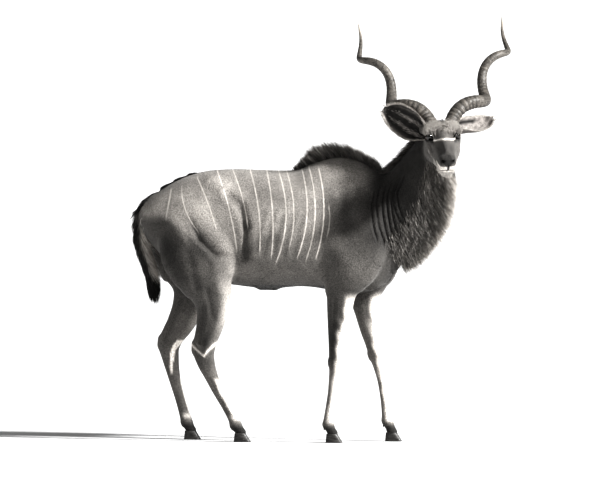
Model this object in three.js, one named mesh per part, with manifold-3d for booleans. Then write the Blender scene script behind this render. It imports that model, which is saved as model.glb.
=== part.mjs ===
// A greater kudu bull, life size, standing still with its head turned to its right.
// Lengths are millimetres: +X runs forward along the body, +Y to the animal's left, +Z up from the ground.
import * as THREE from "three";
import { mergeVertices } from "three/addons/utils/BufferGeometryUtils.js";
import Module from "manifold-3d";

const wasm = await Module();
wasm.setup();

// Driving sizes
const GAP = 0.4; // left between two pieces that touch
const FRAME_SHIFT = [-337.8, -58.0]; // moves the middle of the whole outline onto the Z axis
const HEAD_ORIGIN = [1001, -190, 1592]; // top of the skull, between the horns
const HEAD_YAW = 73; // of the face, from straight ahead to the animal's right
const HEAD_PITCH = 32.1; // nose down
const HEAD_ROLL = 3.6; // left side up
const CROWN_ORIGIN = [1001, -190, 1572]; // between the roots of the horns
const CROWN_YAW = 76.3; // of the horns and ears
const HORN_LENGTH = 1050; // along the straight axis of the corkscrew
const HORN_TURNS = 2.31;
const HORN_COIL = 63; // widest distance of the horn's centre line from its axis
const HORN_BASE_RADIUS = 39;
const HORN_TIP_RADIUS = 5;
const EAR_LENGTH = 245;
const EYE_RADIUS = 20;
const HOOF_HEIGHT = 46;
const HOOF_LENGTH = 84;
const DIGIT_WIDTH = 29;
const CREST_HAIR = 76;
const RUFF_HAIR = 128;

// Colours, roughness
const COAT = [0x6f675e, 0.85];
const MANE = [0x3f3a35, 0.9];
const FACE = [0x4a443e, 0.85];
const HORN = [0x55493d, 0.55];
const HOOF = [0x1d1a18, 0.5];
const EYE = [0x120d0a, 0.15];

const v3 = (x, y, z) => new THREE.Vector3(x, y, z);
const rad = THREE.MathUtils.degToRad;
const chance = (seed) => THREE.MathUtils.seededRandom(seed) * 2 - 1;

// Solids and their surfaces
function solidOf(geometry) {
  const bare = geometry.clone();
  bare.deleteAttribute("normal");
  bare.deleteAttribute("uv");
  const merged = mergeVertices(bare, 1e-3);
  return new wasm.Manifold(
    new wasm.Mesh({
      numProp: 3,
      vertProperties: merged.attributes.position.array,
      triVerts: new Uint32Array(merged.index.array),
    }),
  );
}

function largestOf(solid) {
  return solid.decompose().reduce((a, b) => (b.volume() > a.volume() ? b : a));
}

function geometryOf(solid) {
  const mesh = largestOf(solid).getMesh();
  const points = new Float32Array(mesh.numVert * 3);
  for (let i = 0; i < mesh.numVert; i++)
    points.set(mesh.vertProperties.subarray(i * mesh.numProp, i * mesh.numProp + 3), i * 3);
  const geometry = new THREE.BufferGeometry();
  geometry.setAttribute("position", new THREE.BufferAttribute(points, 3));
  geometry.setIndex(new THREE.BufferAttribute(new Uint32Array(mesh.triVerts), 1));
  geometry.computeVertexNormals();
  return geometry;
}

// A closed body through rings of points, each ring running anticlockwise as seen from the end it leads to.
// It may come to a point past its last ring.
function skinned(rings, tip) {
  const sides = rings[0].length;
  const points = rings.flat().flatMap((p) => [p.x, p.y, p.z]);
  const index = [];
  for (let r = 0; r < rings.length - 1; r++) {
    for (let k = 0; k < sides; k++) {
      const k2 = (k + 1) % sides;
      const [a, b, c, d] = [r * sides + k, r * sides + k2, (r + 1) * sides + k2, (r + 1) * sides + k];
      index.push(a, b, c, a, c, d);
    }
  }
  for (const [r, turned] of [[0, true], [rings.length - 1, false]]) {
    const middle = rings[r].reduce((sum, p) => sum.add(p), v3(0, 0, 0)).divideScalar(sides);
    if (!turned && tip) middle.copy(tip);
    const hub = points.length / 3;
    points.push(middle.x, middle.y, middle.z);
    for (let k = 0; k < sides; k++) {
      const [a, b] = [r * sides + k, r * sides + ((k + 1) % sides)];
      index.push(...(turned ? [hub, b, a] : [hub, a, b]));
    }
  }
  const geometry = new THREE.BufferGeometry();
  geometry.setAttribute("position", new THREE.Float32BufferAttribute(points, 3));
  geometry.setIndex(index);
  return geometry;
}

// The row of numbers at s, from 0 to 1, on a smooth curve through the rows.
function rowAt(rows, s) {
  const last = rows.length - 1;
  const place = THREE.MathUtils.clamp(s, 0, 1) * last;
  const i = Math.min(Math.floor(place), last - 1);
  const t = place - i;
  const [p, q, r, n] = [-1, 0, 1, 2].map((k) => rows[THREE.MathUtils.clamp(i + k, 0, last)]);
  return q.map((b, k) => {
    const [a, c, d] = [p[k], r[k], n[k]];
    return b + 0.5 * t * (c - a + t * (2 * a - 5 * b + 4 * c - d + t * (3 * (b - c) + d - a)));
  });
}

// How far the muscles and bones near a point lift the skin.
function reliefAt(point, bumps) {
  return bumps.reduce((sum, { at, size, height }) => {
    const far =
      ((point.x - at[0]) / size[0]) ** 2 +
      ((Math.abs(point.y) - at[1]) / size[1]) ** 2 +
      ((point.z - at[2]) / size[2]) ** 2;
    return sum + height * Math.exp(-far);
  }, 0);
}

const DOME = [0.94, 0.72, 0.38]; // widths of the rings that round off an end

// A limb. Its rows: x, y, z, half width, half depth, how much narrower the far side is, turn to the right.
class Limb {
  constructor(rows, { upright = false, sides = 16, power = 2, bumps = [] } = {}) {
    Object.assign(this, { rows, upright, sides, power, bumps });
  }

  frameAt(s) {
    const [x, y, z, side, depth, egg = 0, turn = 0] = rowAt(this.rows, s);
    const step = 1e-3;
    const ahead = rowAt(this.rows, s + step);
    const behind = rowAt(this.rows, s - step);
    const along = this.upright
      ? v3(1, 0, 0)
      : v3(ahead[0] - behind[0], ahead[1] - behind[1], ahead[2] - behind[2]).normalize();
    const left = v3(Math.sin(rad(turn)), Math.cos(rad(turn)), 0);
    left.addScaledVector(along, -left.dot(along)).normalize();
    const back = along.clone().cross(left);
    return { centre: v3(x, y, z), along, left, back, side, depth, egg };
  }

  // The surface point at s, an angle round the limb from its left side towards its back.
  pointAt(s, angle, grow = 0, shrink = 1, push = 0) {
    const f = this.frameAt(s);
    const round = (w) => Math.sign(w) * Math.abs(w) ** (2 / this.power);
    const [c, d] = [round(Math.cos(angle)), round(Math.sin(angle))];
    const out = v3(0, 0, 0)
      .addScaledVector(f.left, (f.side + grow) * c * (1 - f.egg * d))
      .addScaledVector(f.back, (f.depth + grow) * d);
    const point = f.centre.clone().add(out);
    const lift = reliefAt(point, this.bumps);
    out.setLength(out.length() + lift);
    return f.centre
      .clone()
      .addScaledVector(out, shrink)
      .addScaledVector(f.along, push);
  }

  ringAt(s, options = {}) {
    const { grow = 0, shrink = 1, push = 0 } = options;
    return Array.from({ length: this.sides }, (_, k) =>
      this.pointAt(s, (k / this.sides) * 2 * Math.PI, grow, shrink, push),
    );
  }

  // The rings that round off an end over a length, from the widest to the narrowest.
  dome(s, length, grow) {
    return DOME.map((shrink) => this.ringAt(s, { grow, shrink, push: length * Math.sqrt(1 - shrink ** 2) }));
  }

  // The solid from one place along the limb to another, with an end cut flat or rounded over a length.
  solid({ from = 0, to = 1, rings, startRound = 0, endRound = 0, startPush = 0, endPush = 0, grow = 0 }) {
    const made = Array.from({ length: rings }, (_, r) => {
      const s = from + ((to - from) * r) / (rings - 1);
      const push = { 0: startPush, [rings - 1]: endPush }[r] ?? 0;
      return this.ringAt(s, { grow, push });
    });
    if (startRound) made.unshift(...this.dome(from, -startRound - grow, grow).reverse());
    if (endRound) made.push(...this.dome(to, endRound + grow, grow));
    return solidOf(skinned(made));
  }
}

// Upright limbs are told by their top and bottom lines: x, top, bottom, half width, egg.
function upright(rows) {
  return rows.map(([x, top, bottom, ...rest]) => {
    const [side, egg = 0] = rest;
    return [x, 0, (top + bottom) / 2, side, (top - bottom) / 2, egg];
  });
}

// Body
const torso = new Limb(
  upright([
    [-558, 1165, 1062, 52],
    [-520, 1210, 1005, 92],
    [-460, 1250, 935, 132],
    [-400, 1287, 878, 158, 0.05],
    [-320, 1327, 832, 178, 0.08],
    [-230, 1352, 802, 190, 0.1],
    [-140, 1362, 786, 197, 0.1],
    [-40, 1363, 772, 206, 0.06],
    [60, 1357, 762, 214, 0.04],
    [160, 1355, 764, 215, 0.06],
    [250, 1364, 771, 209, 0.12],
    [330, 1396, 767, 200, 0.18],
    [410, 1420, 754, 190, 0.24],
    [480, 1425, 744, 182, 0.26],
    [550, 1408, 742, 172, 0.22],
    [610, 1378, 750, 158, 0.15],
    [665, 1330, 768, 136, 0.05],
    [710, 1262, 805, 105],
    [742, 1180, 872, 64],
  ]),
  {
    upright: true,
    sides: 20,
    power: 2.15,
    bumps: [
      { at: [-110, 150, 1265], size: [50, 60, 45], height: 13 }, // point of the hip
      { at: [-45, 190, 1180], size: [75, 90, 80], height: -15 }, // hollow of the flank
      { at: [-270, 175, 1040], size: [150, 90, 130], height: 16 }, // thigh
      { at: [560, 150, 1080], size: [90, 90, 170], height: 13 }, // shoulder blade
      { at: [480, 160, 920], size: [95, 90, 90], height: 16 }, // upper arm
      { at: [170, 200, 980], size: [170, 90, 170], height: 8 }, // ribs
      { at: [-505, 90, 1130], size: [45, 60, 70], height: 10 }, // point of the buttock
    ],
  },
);

const neck = new Limb(
  [
    [560, 0, 1065, 138, 225, 0, 0],
    [635, 0, 1088, 138, 238, 0, 0],
    [722, -6, 1145, 122, 205, 0, 4],
    [812, -22, 1230, 106, 172, 0.05, 12],
    [876, -45, 1330, 93, 148, 0.08, 24],
    [924, -68, 1425, 83, 128, 0.08, 38],
    [962, -84, 1492, 76, 108, 0, 52],
    [985, -98, 1535, 62, 80, 0, 62],
  ],
  { sides: 16, power: 2.1 },
);

const head = new Limb(
  upright([
    [-98, -48, -140, 46, 0],
    [-72, -22, -166, 64, 0],
    [-36, -6, -188, 76, 0],
    [0, -2, -198, 84, 0],
    [36, 0, -196, 88, 0],
    [66, 0, -188, 86, 0.04],
    [96, -2, -177, 79, 0.08],
    [126, -3, -165, 72, 0.1],
    [160, -4, -153, 65, 0.1],
    [196, -3, -141, 57, 0.08],
    [230, -3, -131, 51, 0.06],
    [258, -6, -123, 47, 0.04],
    [280, -14, -116, 41, 0.04],
  ]),
  {
    upright: true,
    sides: 22,
    power: 2.4,
    bumps: [
      { at: [54, 76, -26], size: [38, 40, 27], height: 12 }, // eye socket
      { at: [40, 75, -140], size: [50, 30, 40], height: 5 }, // jaw muscle
      { at: [105, 60, -70], size: [50, 40, 18], height: 5 }, // cheekbone
      { at: [268, 30, -34], size: [20, 18, 16], height: 5 }, // nostril's wing
      { at: [262, 28, -72], size: [26, 24, 10], height: 4 }, // upper lip
      { at: [250, 0, -126], size: [24, 22, 12], height: 5 }, // chin
    ],
  },
);

// Legs, from inside the body down to the hoof: x, y, z, half width, half depth.
const legs = {
  fore_right: new Limb([
    [530, -92, 1230, 42, 66],
    [585, -124, 1080, 60, 108],
    [565, -137, 930, 66, 138],
    [512, -130, 825, 62, 118],
    [485, -120, 750, 52, 82],
    [473, -115, 645, 44, 66],
    [467, -112, 535, 38, 54],
    [462, -110, 455, 35, 45],
    [460, -108, 395, 35, 42],
    [450, -106, 335, 27, 32],
    [437, -104, 255, 20, 25],
    [425, -102, 180, 20, 24],
    [417, -101, 128, 22, 25],
    [416, -100, 94, 26, 29],
    [428, -100, 64, 25, 25],
    [437, -100, 46, 27, 27],
  ]),
  fore_left: new Limb([
    [505, 92, 1230, 42, 66],
    [590, 124, 1060, 60, 112],
    [618, 135, 905, 64, 122],
    [585, 130, 800, 58, 96],
    [560, 120, 715, 50, 74],
    [571, 115, 640, 44, 62],
    [586, 112, 562, 38, 51],
    [606, 110, 494, 35, 44],
    [625, 108, 430, 35, 41],
    [639, 106, 370, 27, 32],
    [652, 104, 308, 20, 26],
    [664, 102, 235, 20, 24],
    [673, 101, 165, 21, 25],
    [681, 100, 108, 26, 29],
    [694, 100, 70, 25, 25],
    [704, 100, 46, 27, 27],
  ]),
  hind_right: new Limb([
    [-290, -70, 1200, 45, 110],
    [-262, -112, 1070, 70, 180],
    [-238, -136, 955, 80, 203],
    [-217, -143, 870, 80, 182],
    [-195, -140, 800, 75, 146],
    [-173, -133, 730, 66, 109],
    [-168, -127, 655, 56, 85],
    [-183, -121, 580, 47, 72],
    [-203, -116, 512, 40, 62],
    [-213, -112, 448, 36, 55],
    [-202, -110, 392, 31, 46],
    [-180, -108, 335, 26, 36],
    [-144, -106, 255, 22, 28],
    [-102, -104, 180, 21, 25],
    [-72, -102, 125, 23, 26],
    [-54, -101, 88, 27, 30],
    [-38, -100, 62, 25, 26],
    [-28, -100, 46, 27, 27],
  ]),
  hind_left: new Limb([
    [-350, 70, 1200, 45, 110],
    [-348, 112, 1070, 70, 180],
    [-338, 136, 955, 80, 200],
    [-324, 143, 870, 80, 178],
    [-310, 139, 800, 74, 145],
    [-314, 132, 730, 64, 111],
    [-340, 126, 655, 55, 87],
    [-377, 120, 580, 47, 73],
    [-415, 115, 517, 40, 62],
    [-431, 112, 462, 36, 54],
    [-425, 110, 410, 31, 45],
    [-414, 108, 352, 26, 36],
    [-397, 106, 280, 22, 29],
    [-375, 104, 205, 21, 26],
    [-356, 102, 142, 23, 27],
    [-340, 101, 92, 27, 30],
    [-326, 100, 62, 25, 26],
    [-318, 100, 46, 27, 27],
  ]),
};
for (const [name, limb] of Object.entries(legs)) {
  limb.sides = 10;
  limb.power = name.startsWith("hind") ? 2.2 : 2.1;
}
// The point of each hock stands out behind it.
legs.hind_right.bumps = [{ at: [-262, 112, 478], size: [26, 40, 34], height: 12 }];
legs.hind_left.bumps = [{ at: [-482, 112, 492], size: [26, 40, 34], height: 12 }];

const tail = new Limb(
  [
    [-430, 0, 1205, 30, 30],
    [-480, 0, 1212, 26, 24],
    [-522, 0, 1180, 22, 20],
    [-551, 0, 1122, 19, 17],
    [-562, 0, 1055, 17, 16],
    [-553, 0, 980, 16, 15],
    [-530, 0, 905, 15, 15],
    [-512, 0, 850, 14, 14],
    [-502, 0, 808, 14, 15],
    [-497, 0, 775, 10, 12],
  ],
  { sides: 8 },
);

// The frames of the face and of the crown: x towards the nose, y to the left, z out of the forehead.
function matrixAt(origin, yaw) {
  const ahead = v3(Math.cos(rad(yaw)), -Math.sin(rad(yaw)), 0);
  const turned = (main, aside, angle) =>
    main.clone().multiplyScalar(Math.cos(rad(angle))).addScaledVector(aside, Math.sin(rad(angle)));
  const nose = turned(ahead, v3(0, 0, -1), HEAD_PITCH);
  const brow = turned(v3(0, 0, 1), ahead, HEAD_PITCH);
  const leftSide = turned(brow.clone().cross(nose), brow, HEAD_ROLL);
  const upSide = nose.clone().cross(leftSide);
  return new THREE.Matrix4().makeBasis(nose, leftSide, upSide).setPosition(...origin).toArray();
}
const onFace = (solid) => solid.transform(matrixAt(HEAD_ORIGIN, HEAD_YAW));
const onCrown = (solid) => solid.transform(matrixAt(CROWN_ORIGIN, CROWN_YAW));

// A flat lock of hair: it leaves the skin along "out", bends over to "lie" and tapers to a point.
function lock({ root, out, lie, across, length, width, thick, sink = 14 }) {
  const start = root.clone().addScaledVector(out, -sink);
  const middle = root.clone().addScaledVector(out, length * 0.5);
  const end = root.clone().addScaledVector(out, length * 0.4).addScaledVector(lie, length * 0.7);
  const curve = new THREE.QuadraticBezierCurve3(start, middle, end);
  const rings = [0, 0.45, 0.78].map((t) => {
    const centre = curve.getPoint(t);
    const along = curve.getTangent(t);
    const broad = across.clone().addScaledVector(along, -across.dot(along)).normalize();
    const thin = along.clone().cross(broad);
    const w = (width / 2) * (1 + 0.4 * t) * (1 - t ** 3);
    const h = (thick / 2) * (1 - 0.6 * t);
    return [[w, 0], [0, h], [-w, 0], [0, -h]].map(([a, b]) =>
      centre.clone().addScaledVector(broad, a).addScaledVector(thin, b),
    );
  });
  return solidOf(skinned(rings, end));
}

// Locks in rows on a limb. "spec" tells each lock by its place along the row and its number.
function locksOn(limb, count, spec) {
  return Array.from({ length: count }, (_, k) => {
    const { s, angle, ...form } = spec(k / (count - 1), k);
    const frame = limb.frameAt(s);
    const root = limb.pointAt(s, angle);
    const out = root.clone().sub(frame.centre).normalize();
    const axes = { ...frame, out };
    return lock({ root, ...form.shape(axes), length: form.length, width: form.width, thick: form.thick });
  });
}

const blend = (...parts) => parts.reduce((sum, [v, w]) => sum.addScaledVector(v, w), v3(0, 0, 0)).normalize();
const DOWN = v3(0, 0, -1);
const TOP = Math.PI / 2;

// Upright hair along the ridge of the neck and back, leaning backwards.
function ridgeLocks(limb, count, from, to, lengthAt, seed, backwards) {
  return locksOn(limb, count, (t, k) => ({
    s: from + (to - from) * t,
    angle: TOP + 0.07 * chance(seed + k) + (k % 2 ? 0.05 : -0.05),
    length: lengthAt(t) * (1 + 0.14 * chance(seed + 100 + k)),
    width: 52,
    thick: 14,
    shape: ({ out, along, left }) => ({
      out: blend([out, 1], [along, backwards * 0.25], [left, 0.12 * chance(seed + 200 + k)]),
      lie: blend([out, 0.7], [along, backwards * (0.75 + 0.2 * chance(seed + 300 + k))]),
      across: along,
    }),
  }));
}

const neckMane = ridgeLocks(neck, 13, 0.18, 0.9, (t) => CREST_HAIR * (1.3 - 0.55 * t), 11, -1);
const withersCrest = ridgeLocks(torso, 14, 0.815, 0.57, (t) => CREST_HAIR * (1.18 - 0.62 * t ** 3), 23, -1);
const rumpCrest = ridgeLocks(torso, 5, 0.245, 0.155, () => CREST_HAIR * 0.3, 37, -2.5);

// The ruff hangs from the throat in columns, longest down the middle.
const RUFF_COLUMNS = [0, 1, -1, 2, -2];
const ruff = RUFF_COLUMNS.flatMap((column) => {
  const aside = Math.abs(column);
  const count = aside ? 8 - aside : 12;
  return locksOn(neck, count, (t, k) => {
    const seed = 500 + column * 40 + k;
    const fullness = (1 - 0.17 * aside) * (0.72 + 0.4 * Math.sin(Math.PI * (1 - t) ** 0.8));
    return {
      s: 0.2 + 0.035 * aside + (0.68 - 0.06 * aside) * t + 0.012 * chance(seed),
      angle: -TOP + column * 0.36 + 0.07 * chance(seed + 7),
      length: RUFF_HAIR * fullness * (1 + 0.12 * chance(seed + 13)),
      width: aside ? 72 : 84,
      thick: 18,
      shape: ({ out, along, left }) => ({
        out: blend([out, 1], [DOWN, 0.6], [along, -0.2]),
        lie: blend([out, 0.25], [DOWN, 1], [left, 0.15 * chance(seed + 19)]),
        across: aside ? out.clone().cross(DOWN) : left.clone().cross(DOWN),
      }),
    };
  });
});

// Long hair all round the tail, and the dark tuft at its end.
const tailHair = [0.3, Math.PI - 0.3, TOP, -TOP].flatMap((angle, column) =>
  locksOn(tail, 4, (t, k) => ({
    s: 0.22 + 0.66 * t,
    angle: angle + 0.15 * chance(700 + column * 20 + k),
    length: 78 + 14 * chance(740 + column * 20 + k),
    width: 42,
    thick: 11,
    shape: ({ out, along }) => ({
      out: blend([out, 0.55], [along, 1]),
      lie: blend([out, -0.1], [along, 1]),
      across: out.clone().cross(along),
    }),
  })),
);
const tailTuft = Array.from({ length: 3 }, (_, k) => k * 2.1).flatMap((angle, k) =>
  locksOn(tail, 2, (t) => ({
    s: 0.88 + 0.08 * t,
    angle: angle + t,
    length: 66 - 6 * t + 4 * chance(800 + k),
    width: 30,
    thick: 14,
    shape: ({ out, along }) => ({
      out: blend([out, 0.25], [along, 1]),
      lie: blend([out, -0.12], [along, 1]),
      across: out.clone().cross(along),
    }),
  })),
);

// Head details, in the head's frame
const EYE_PLACE = [60, 69, -30];
function eyeSolid(side, grow = 0) {
  const [x, y, z] = EYE_PLACE;
  return solidOf(new THREE.SphereGeometry(EYE_RADIUS + grow, 12, 8)).translate([x, side * y, z]);
}

// A lid is a roll of skin on the left of the face that runs from one corner of the eye to the other.
function lid(startTurn, height, thick) {
  const sides = 5;
  const rings = Array.from({ length: 9 }, (_, k) => {
    const turn = startTurn + (k / 8) * Math.PI;
    const x = 25 * Math.cos(turn);
    const z = height * Math.sin(turn);
    const y = 82 - 0.01 * (x * x + z * z) - 0.3 * x - 0.2 * z;
    const centre = v3(EYE_PLACE[0] + x, y, EYE_PLACE[2] - 1 + z - 0.12 * x);
    const round = 2.5 + (thick - 2.5) * Math.abs(Math.sin(turn));
    return Array.from({ length: sides }, (_unused, j) => {
      const a = (j / sides) * 2 * Math.PI;
      const out = round * Math.cos(a);
      const deep = 1.7 * round * Math.sin(a);
      return centre.clone().add(v3(out * Math.cos(turn), deep, out * Math.sin(turn)));
    });
  });
  return solidOf(skinned(rings));
}
const lids = wasm.Manifold.union([lid(0, 12, 6.5), lid(Math.PI, 12, 5.5)]);

// The line of the mouth runs back along both sides of the muzzle from under the nose.
function mouthLine() {
  const shape = new THREE.Shape([
    new THREE.Vector2(208, -70),
    new THREE.Vector2(330, -70),
    new THREE.Vector2(330, 70),
    new THREE.Vector2(208, 70),
  ]);
  const slab = new THREE.ExtrudeGeometry(shape, { depth: 3.2, bevelEnabled: false });
  slab.rotateY(rad(5)).translate(0, 0, -65);
  const inside = head.solid({ rings: 26, startRound: 20, endRound: 12, grow: -5 });
  return solidOf(slab).subtract(inside);
}

function nostril(side) {
  const pit = new THREE.SphereGeometry(1, 9, 6);
  pit.scale(12, 6, 8).rotateZ(side * rad(38)).rotateY(rad(-18)).translate(284, side * 24, -31);
  return solidOf(pit);
}

const beard = Array.from({ length: 6 }, (_, k) => {
  const [x, y] = [200 + 30 * Math.floor(k / 2), ((k % 2) - 0.5) * 26];
  return lock({
    root: v3(x, y, -122),
    out: v3(-0.2, 0.01 * y, -1).normalize(),
    lie: v3(-0.55, 0.01 * y, -0.85).normalize(),
    across: v3(0, 1, 0),
    length: 30 + 6 * chance(900 + k),
    width: 30,
    thick: 9,
  });
});

const headForm = { rings: 21, startRound: 20, endRound: 13 };
const headGrown = onFace(head.solid({ ...headForm, grow: GAP }));
const headSolid = onFace(
  wasm.Manifold.union([head.solid(headForm), lids, lids.mirror([0, 1, 0]), ...beard])
    .subtract(mouthLine())
    .subtract(nostril(1))
    .subtract(nostril(-1))
    .subtract(eyeSolid(1, GAP))
    .subtract(eyeSolid(-1, GAP)),
);

// A corkscrew horn on the head's left; the right one is its mirror image.
const HORN_OUTWARD = rad(37);
const HORN_RAISED = rad(5);
const HORN_PHASE = rad(-80.6);
const HORN_CURL = 300; // how far the axis has bent back inwards at the tip
const HORN_ROOT = [0, 42, -4];
const hornAxis = v3(
  -Math.cos(HORN_OUTWARD) * Math.cos(HORN_RAISED),
  Math.sin(HORN_OUTWARD),
  Math.cos(HORN_OUTWARD) * Math.sin(HORN_RAISED),
);
const hornSide = v3(0, 0, 1).cross(hornAxis).normalize();
const hornUp = hornAxis.clone().cross(hornSide);

function hornSpoke(t) {
  const phase = HORN_PHASE + 2 * Math.PI * HORN_TURNS * Math.max(t, 0) ** 0.838;
  return hornSide.clone().multiplyScalar(Math.cos(phase)).addScaledVector(hornUp, Math.sin(phase));
}
function hornCentre(t) {
  const widening = 0.25 + 0.75 * Math.sin((Math.PI / 2) * THREE.MathUtils.clamp(t / 0.5, 0, 1));
  const coil = HORN_COIL * widening * Math.max(1 - t, 0.06) ** 0.43;
  return hornAxis
    .clone()
    .multiplyScalar(HORN_LENGTH * t)
    .addScaledVector(hornSpoke(t), coil)
    .add(v3(0, -HORN_CURL * t * t, 0));
}
function hornAlong(t) {
  const step = 0.004;
  return hornCentre(t + step).sub(hornCentre(t - step)).normalize();
}
function hornRing(t, grow) {
  const centre = hornCentre(t);
  const along = hornAlong(t);
  const spoke = hornSpoke(t);
  spoke.addScaledVector(along, -spoke.dot(along)).normalize();
  const third = along.clone().cross(spoke);
  const thick = HORN_TIP_RADIUS + (HORN_BASE_RADIUS - HORN_TIP_RADIUS) * (1 - t) ** 0.8;
  const sides = 9;
  return Array.from({ length: sides }, (_, k) => {
    const a = (k / sides) * 2 * Math.PI;
    const keel = 1 + 0.13 * Math.max(0, Math.cos(a - 2.1)) ** 4 * (1 - t);
    const r = (thick + grow) * keel;
    return centre.clone().addScaledVector(spoke, r * Math.cos(a)).addScaledVector(third, r * Math.sin(a));
  });
}
function hornLength(side, from, to, rings, grow = 0) {
  const start = v3(...HORN_ROOT).sub(hornCentre(0));
  const made = Array.from({ length: rings }, (_, r) => {
    const t = from + ((to - from) * r) / (rings - 1);
    const push = { 0: GAP / 2, [rings - 1]: -GAP / 2 }[r] ?? 0;
    const offset = hornAlong(t).multiplyScalar(push).add(start);
    return hornRing(t, grow).map((p) => p.add(offset));
  });
  const left = solidOf(skinned(made)).trimByPlane([0, 1, 0], GAP / 2);
  return side > 0 ? left : left.mirror([0, 1, 0]);
}
const HORN_CUTS = [-0.04, 0.36, 0.7, 1];
const HORN_RINGS = [19, 16, 13];
const HORN_LENGTHS = ["base", "middle", "tip"];

// Each ear is a thin cup, rolled into a tube at its root: root, the way it points, the way its hollow faces.
const EARS = {
  right: {
    side: -1,
    root: [-34, -64, -46],
    point: [-0.18, -0.87, 0.47],
    face: [0.92, -0.12, 0.25],
    length: EAR_LENGTH * 1.03,
    broad: 1.14,
  },
  left: {
    side: 1,
    root: [-34, 64, -50],
    point: [-0.35, 0.93, 0.16],
    face: [0.3, -0.1, 0.95],
    length: EAR_LENGTH * 0.87,
    broad: 0.78,
  },
};
const EAR_THICK = 6;
const EAR_ROOT = 22; // sunk into the head
// Rows are the radius of the cup, half its opening angle in degrees, and how far it leans to the hollow side.
const EAR_PROFILE = [
  [26, 150, 0],
  [34, 128, 4],
  [50, 98, 6],
  [66, 76, 4],
  [76, 62, 0],
  [79, 55, -4],
  [75, 49, -8],
  [60, 41, -10],
  [24, 36, -10],
];
function earSolid({ side, root, point, face, length, broad }) {
  const along = v3(...point).normalize();
  const open = v3(...face);
  open.addScaledVector(along, -open.dot(along)).normalize();
  const across = along.clone().cross(open);
  const at = (t, w, depth) => {
    const [radius, angle, lean] = rowAt(EAR_PROFILE, t);
    const turn = rad(angle) * w;
    const r = radius * broad + depth;
    return v3(...root)
      .addScaledVector(along, -EAR_ROOT + (length + EAR_ROOT) * t ** 0.9)
      .addScaledVector(across, r * Math.sin(turn))
      .addScaledVector(open, radius * broad * 0.55 - r * Math.cos(turn) + lean);
  };
  const rows = 8;
  const places = [-1, -0.75, -0.5, -0.25, 0, 0.25, 0.5, 0.75, 1];
  const loops = Array.from({ length: rows + 1 }, (_, i) => [
    ...places.map((w) => at(i / rows, w, 0)),
    ...places.map((w) => at(i / rows, -w, EAR_THICK)),
  ]);
  return solidOf(skinned(loops));
}

// A hoof is two digits side by side, flat underneath, with two small claws behind the fetlock.
function digit(x, y) {
  const outline = (z, long, wide, shift) =>
    Array.from({ length: 10 }, (_, k) => {
      const a = (k / 10) * 2 * Math.PI;
      const pinch = 1 - 0.42 * Math.max(Math.cos(a), 0) ** 2;
      return v3(x + shift + (long / 2) * Math.cos(a), y + (wide / 2) * Math.sin(a) * pinch, z);
    });
  return solidOf(
    skinned([
      outline(0, HOOF_LENGTH, DIGIT_WIDTH, 8),
      outline(9, HOOF_LENGTH * 0.98, DIGIT_WIDTH + 1, 7),
      outline(HOOF_HEIGHT - GAP, HOOF_LENGTH * 0.6, DIGIT_WIDTH * 0.84, -4),
    ]),
  );
}
function dewclaws(limb) {
  const { centre } = limb.frameAt(0.91);
  return [1, -1].map((side) => {
    const claw = new THREE.ConeGeometry(9, 26, 7);
    claw.rotateX(Math.PI / 2).rotateY(rad(205)).translate(centre.x - 26, centre.y + side * 12, centre.z);
    return solidOf(claw);
  });
}

// Joining and cutting
const torsoForm = { rings: 26, startRound: 26, endRound: 22 };
const torsoGrown = torso.solid({ ...torsoForm, grow: GAP });
const legParts = {
  fore: [
    { part: "upper_arm", from: 0, to: 0.27, rings: 8 },
    { part: "forearm", from: 0.27, to: 0.53, rings: 6 },
    { part: "cannon", from: 0.53, to: 0.84, rings: 6 },
    { part: "pastern", from: 0.84, to: 1, rings: 6 },
  ],
  hind: [
    { part: "thigh", from: 0, to: 0.3, rings: 9 },
    { part: "gaskin", from: 0.3, to: 0.53, rings: 6 },
    { part: "cannon", from: 0.53, to: 0.855, rings: 7 },
    { part: "pastern", from: 0.855, to: 1, rings: 6 },
  ],
};
const upperForm = { startRound: 30, endPush: -GAP / 2 };
const middleForm = { startPush: GAP / 2, endPush: -GAP / 2 };
const footForm = { startPush: GAP / 2, endPush: HOOF_HEIGHT / 3 };

const kudu = new THREE.Group();
kudu.name = "greater_kudu";
function add(name, solid, [colour, roughness]) {
  const material = new THREE.MeshStandardMaterial({ color: colour, roughness, metalness: 0 });
  const mesh = new THREE.Mesh(geometryOf(solid), material);
  mesh.name = name;
  kudu.add(mesh);
}

function addHooves(name, limb) {
  const foot = limb.frameAt(1).centre;
  const aside = DIGIT_WIDTH / 2 + 1.5;
  add(`${name}_hoof_left`, digit(foot.x, foot.y + aside), HOOF);
  add(`${name}_hoof_right`, digit(foot.x, foot.y - aside), HOOF);
}

for (const [name, limb] of Object.entries(legs)) {
  const [upper, forearm, cannon, foot] = legParts[name.split("_")[0]];
  add(`${name}_${upper.part}`, limb.solid({ ...upper, ...upperForm }).subtract(torsoGrown), COAT);
  add(`${name}_${forearm.part}`, limb.solid({ ...forearm, ...middleForm }), COAT);
  add(`${name}_${cannon.part}`, limb.solid({ ...cannon, ...middleForm }), COAT);
  const pastern = wasm.Manifold.union([limb.solid({ ...foot, ...footForm }), ...dewclaws(limb)]);
  add(`${name}_${foot.part}`, pastern.trimByPlane([0, 0, 1], HOOF_HEIGHT), COAT);
  addHooves(name, limb);
}

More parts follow.
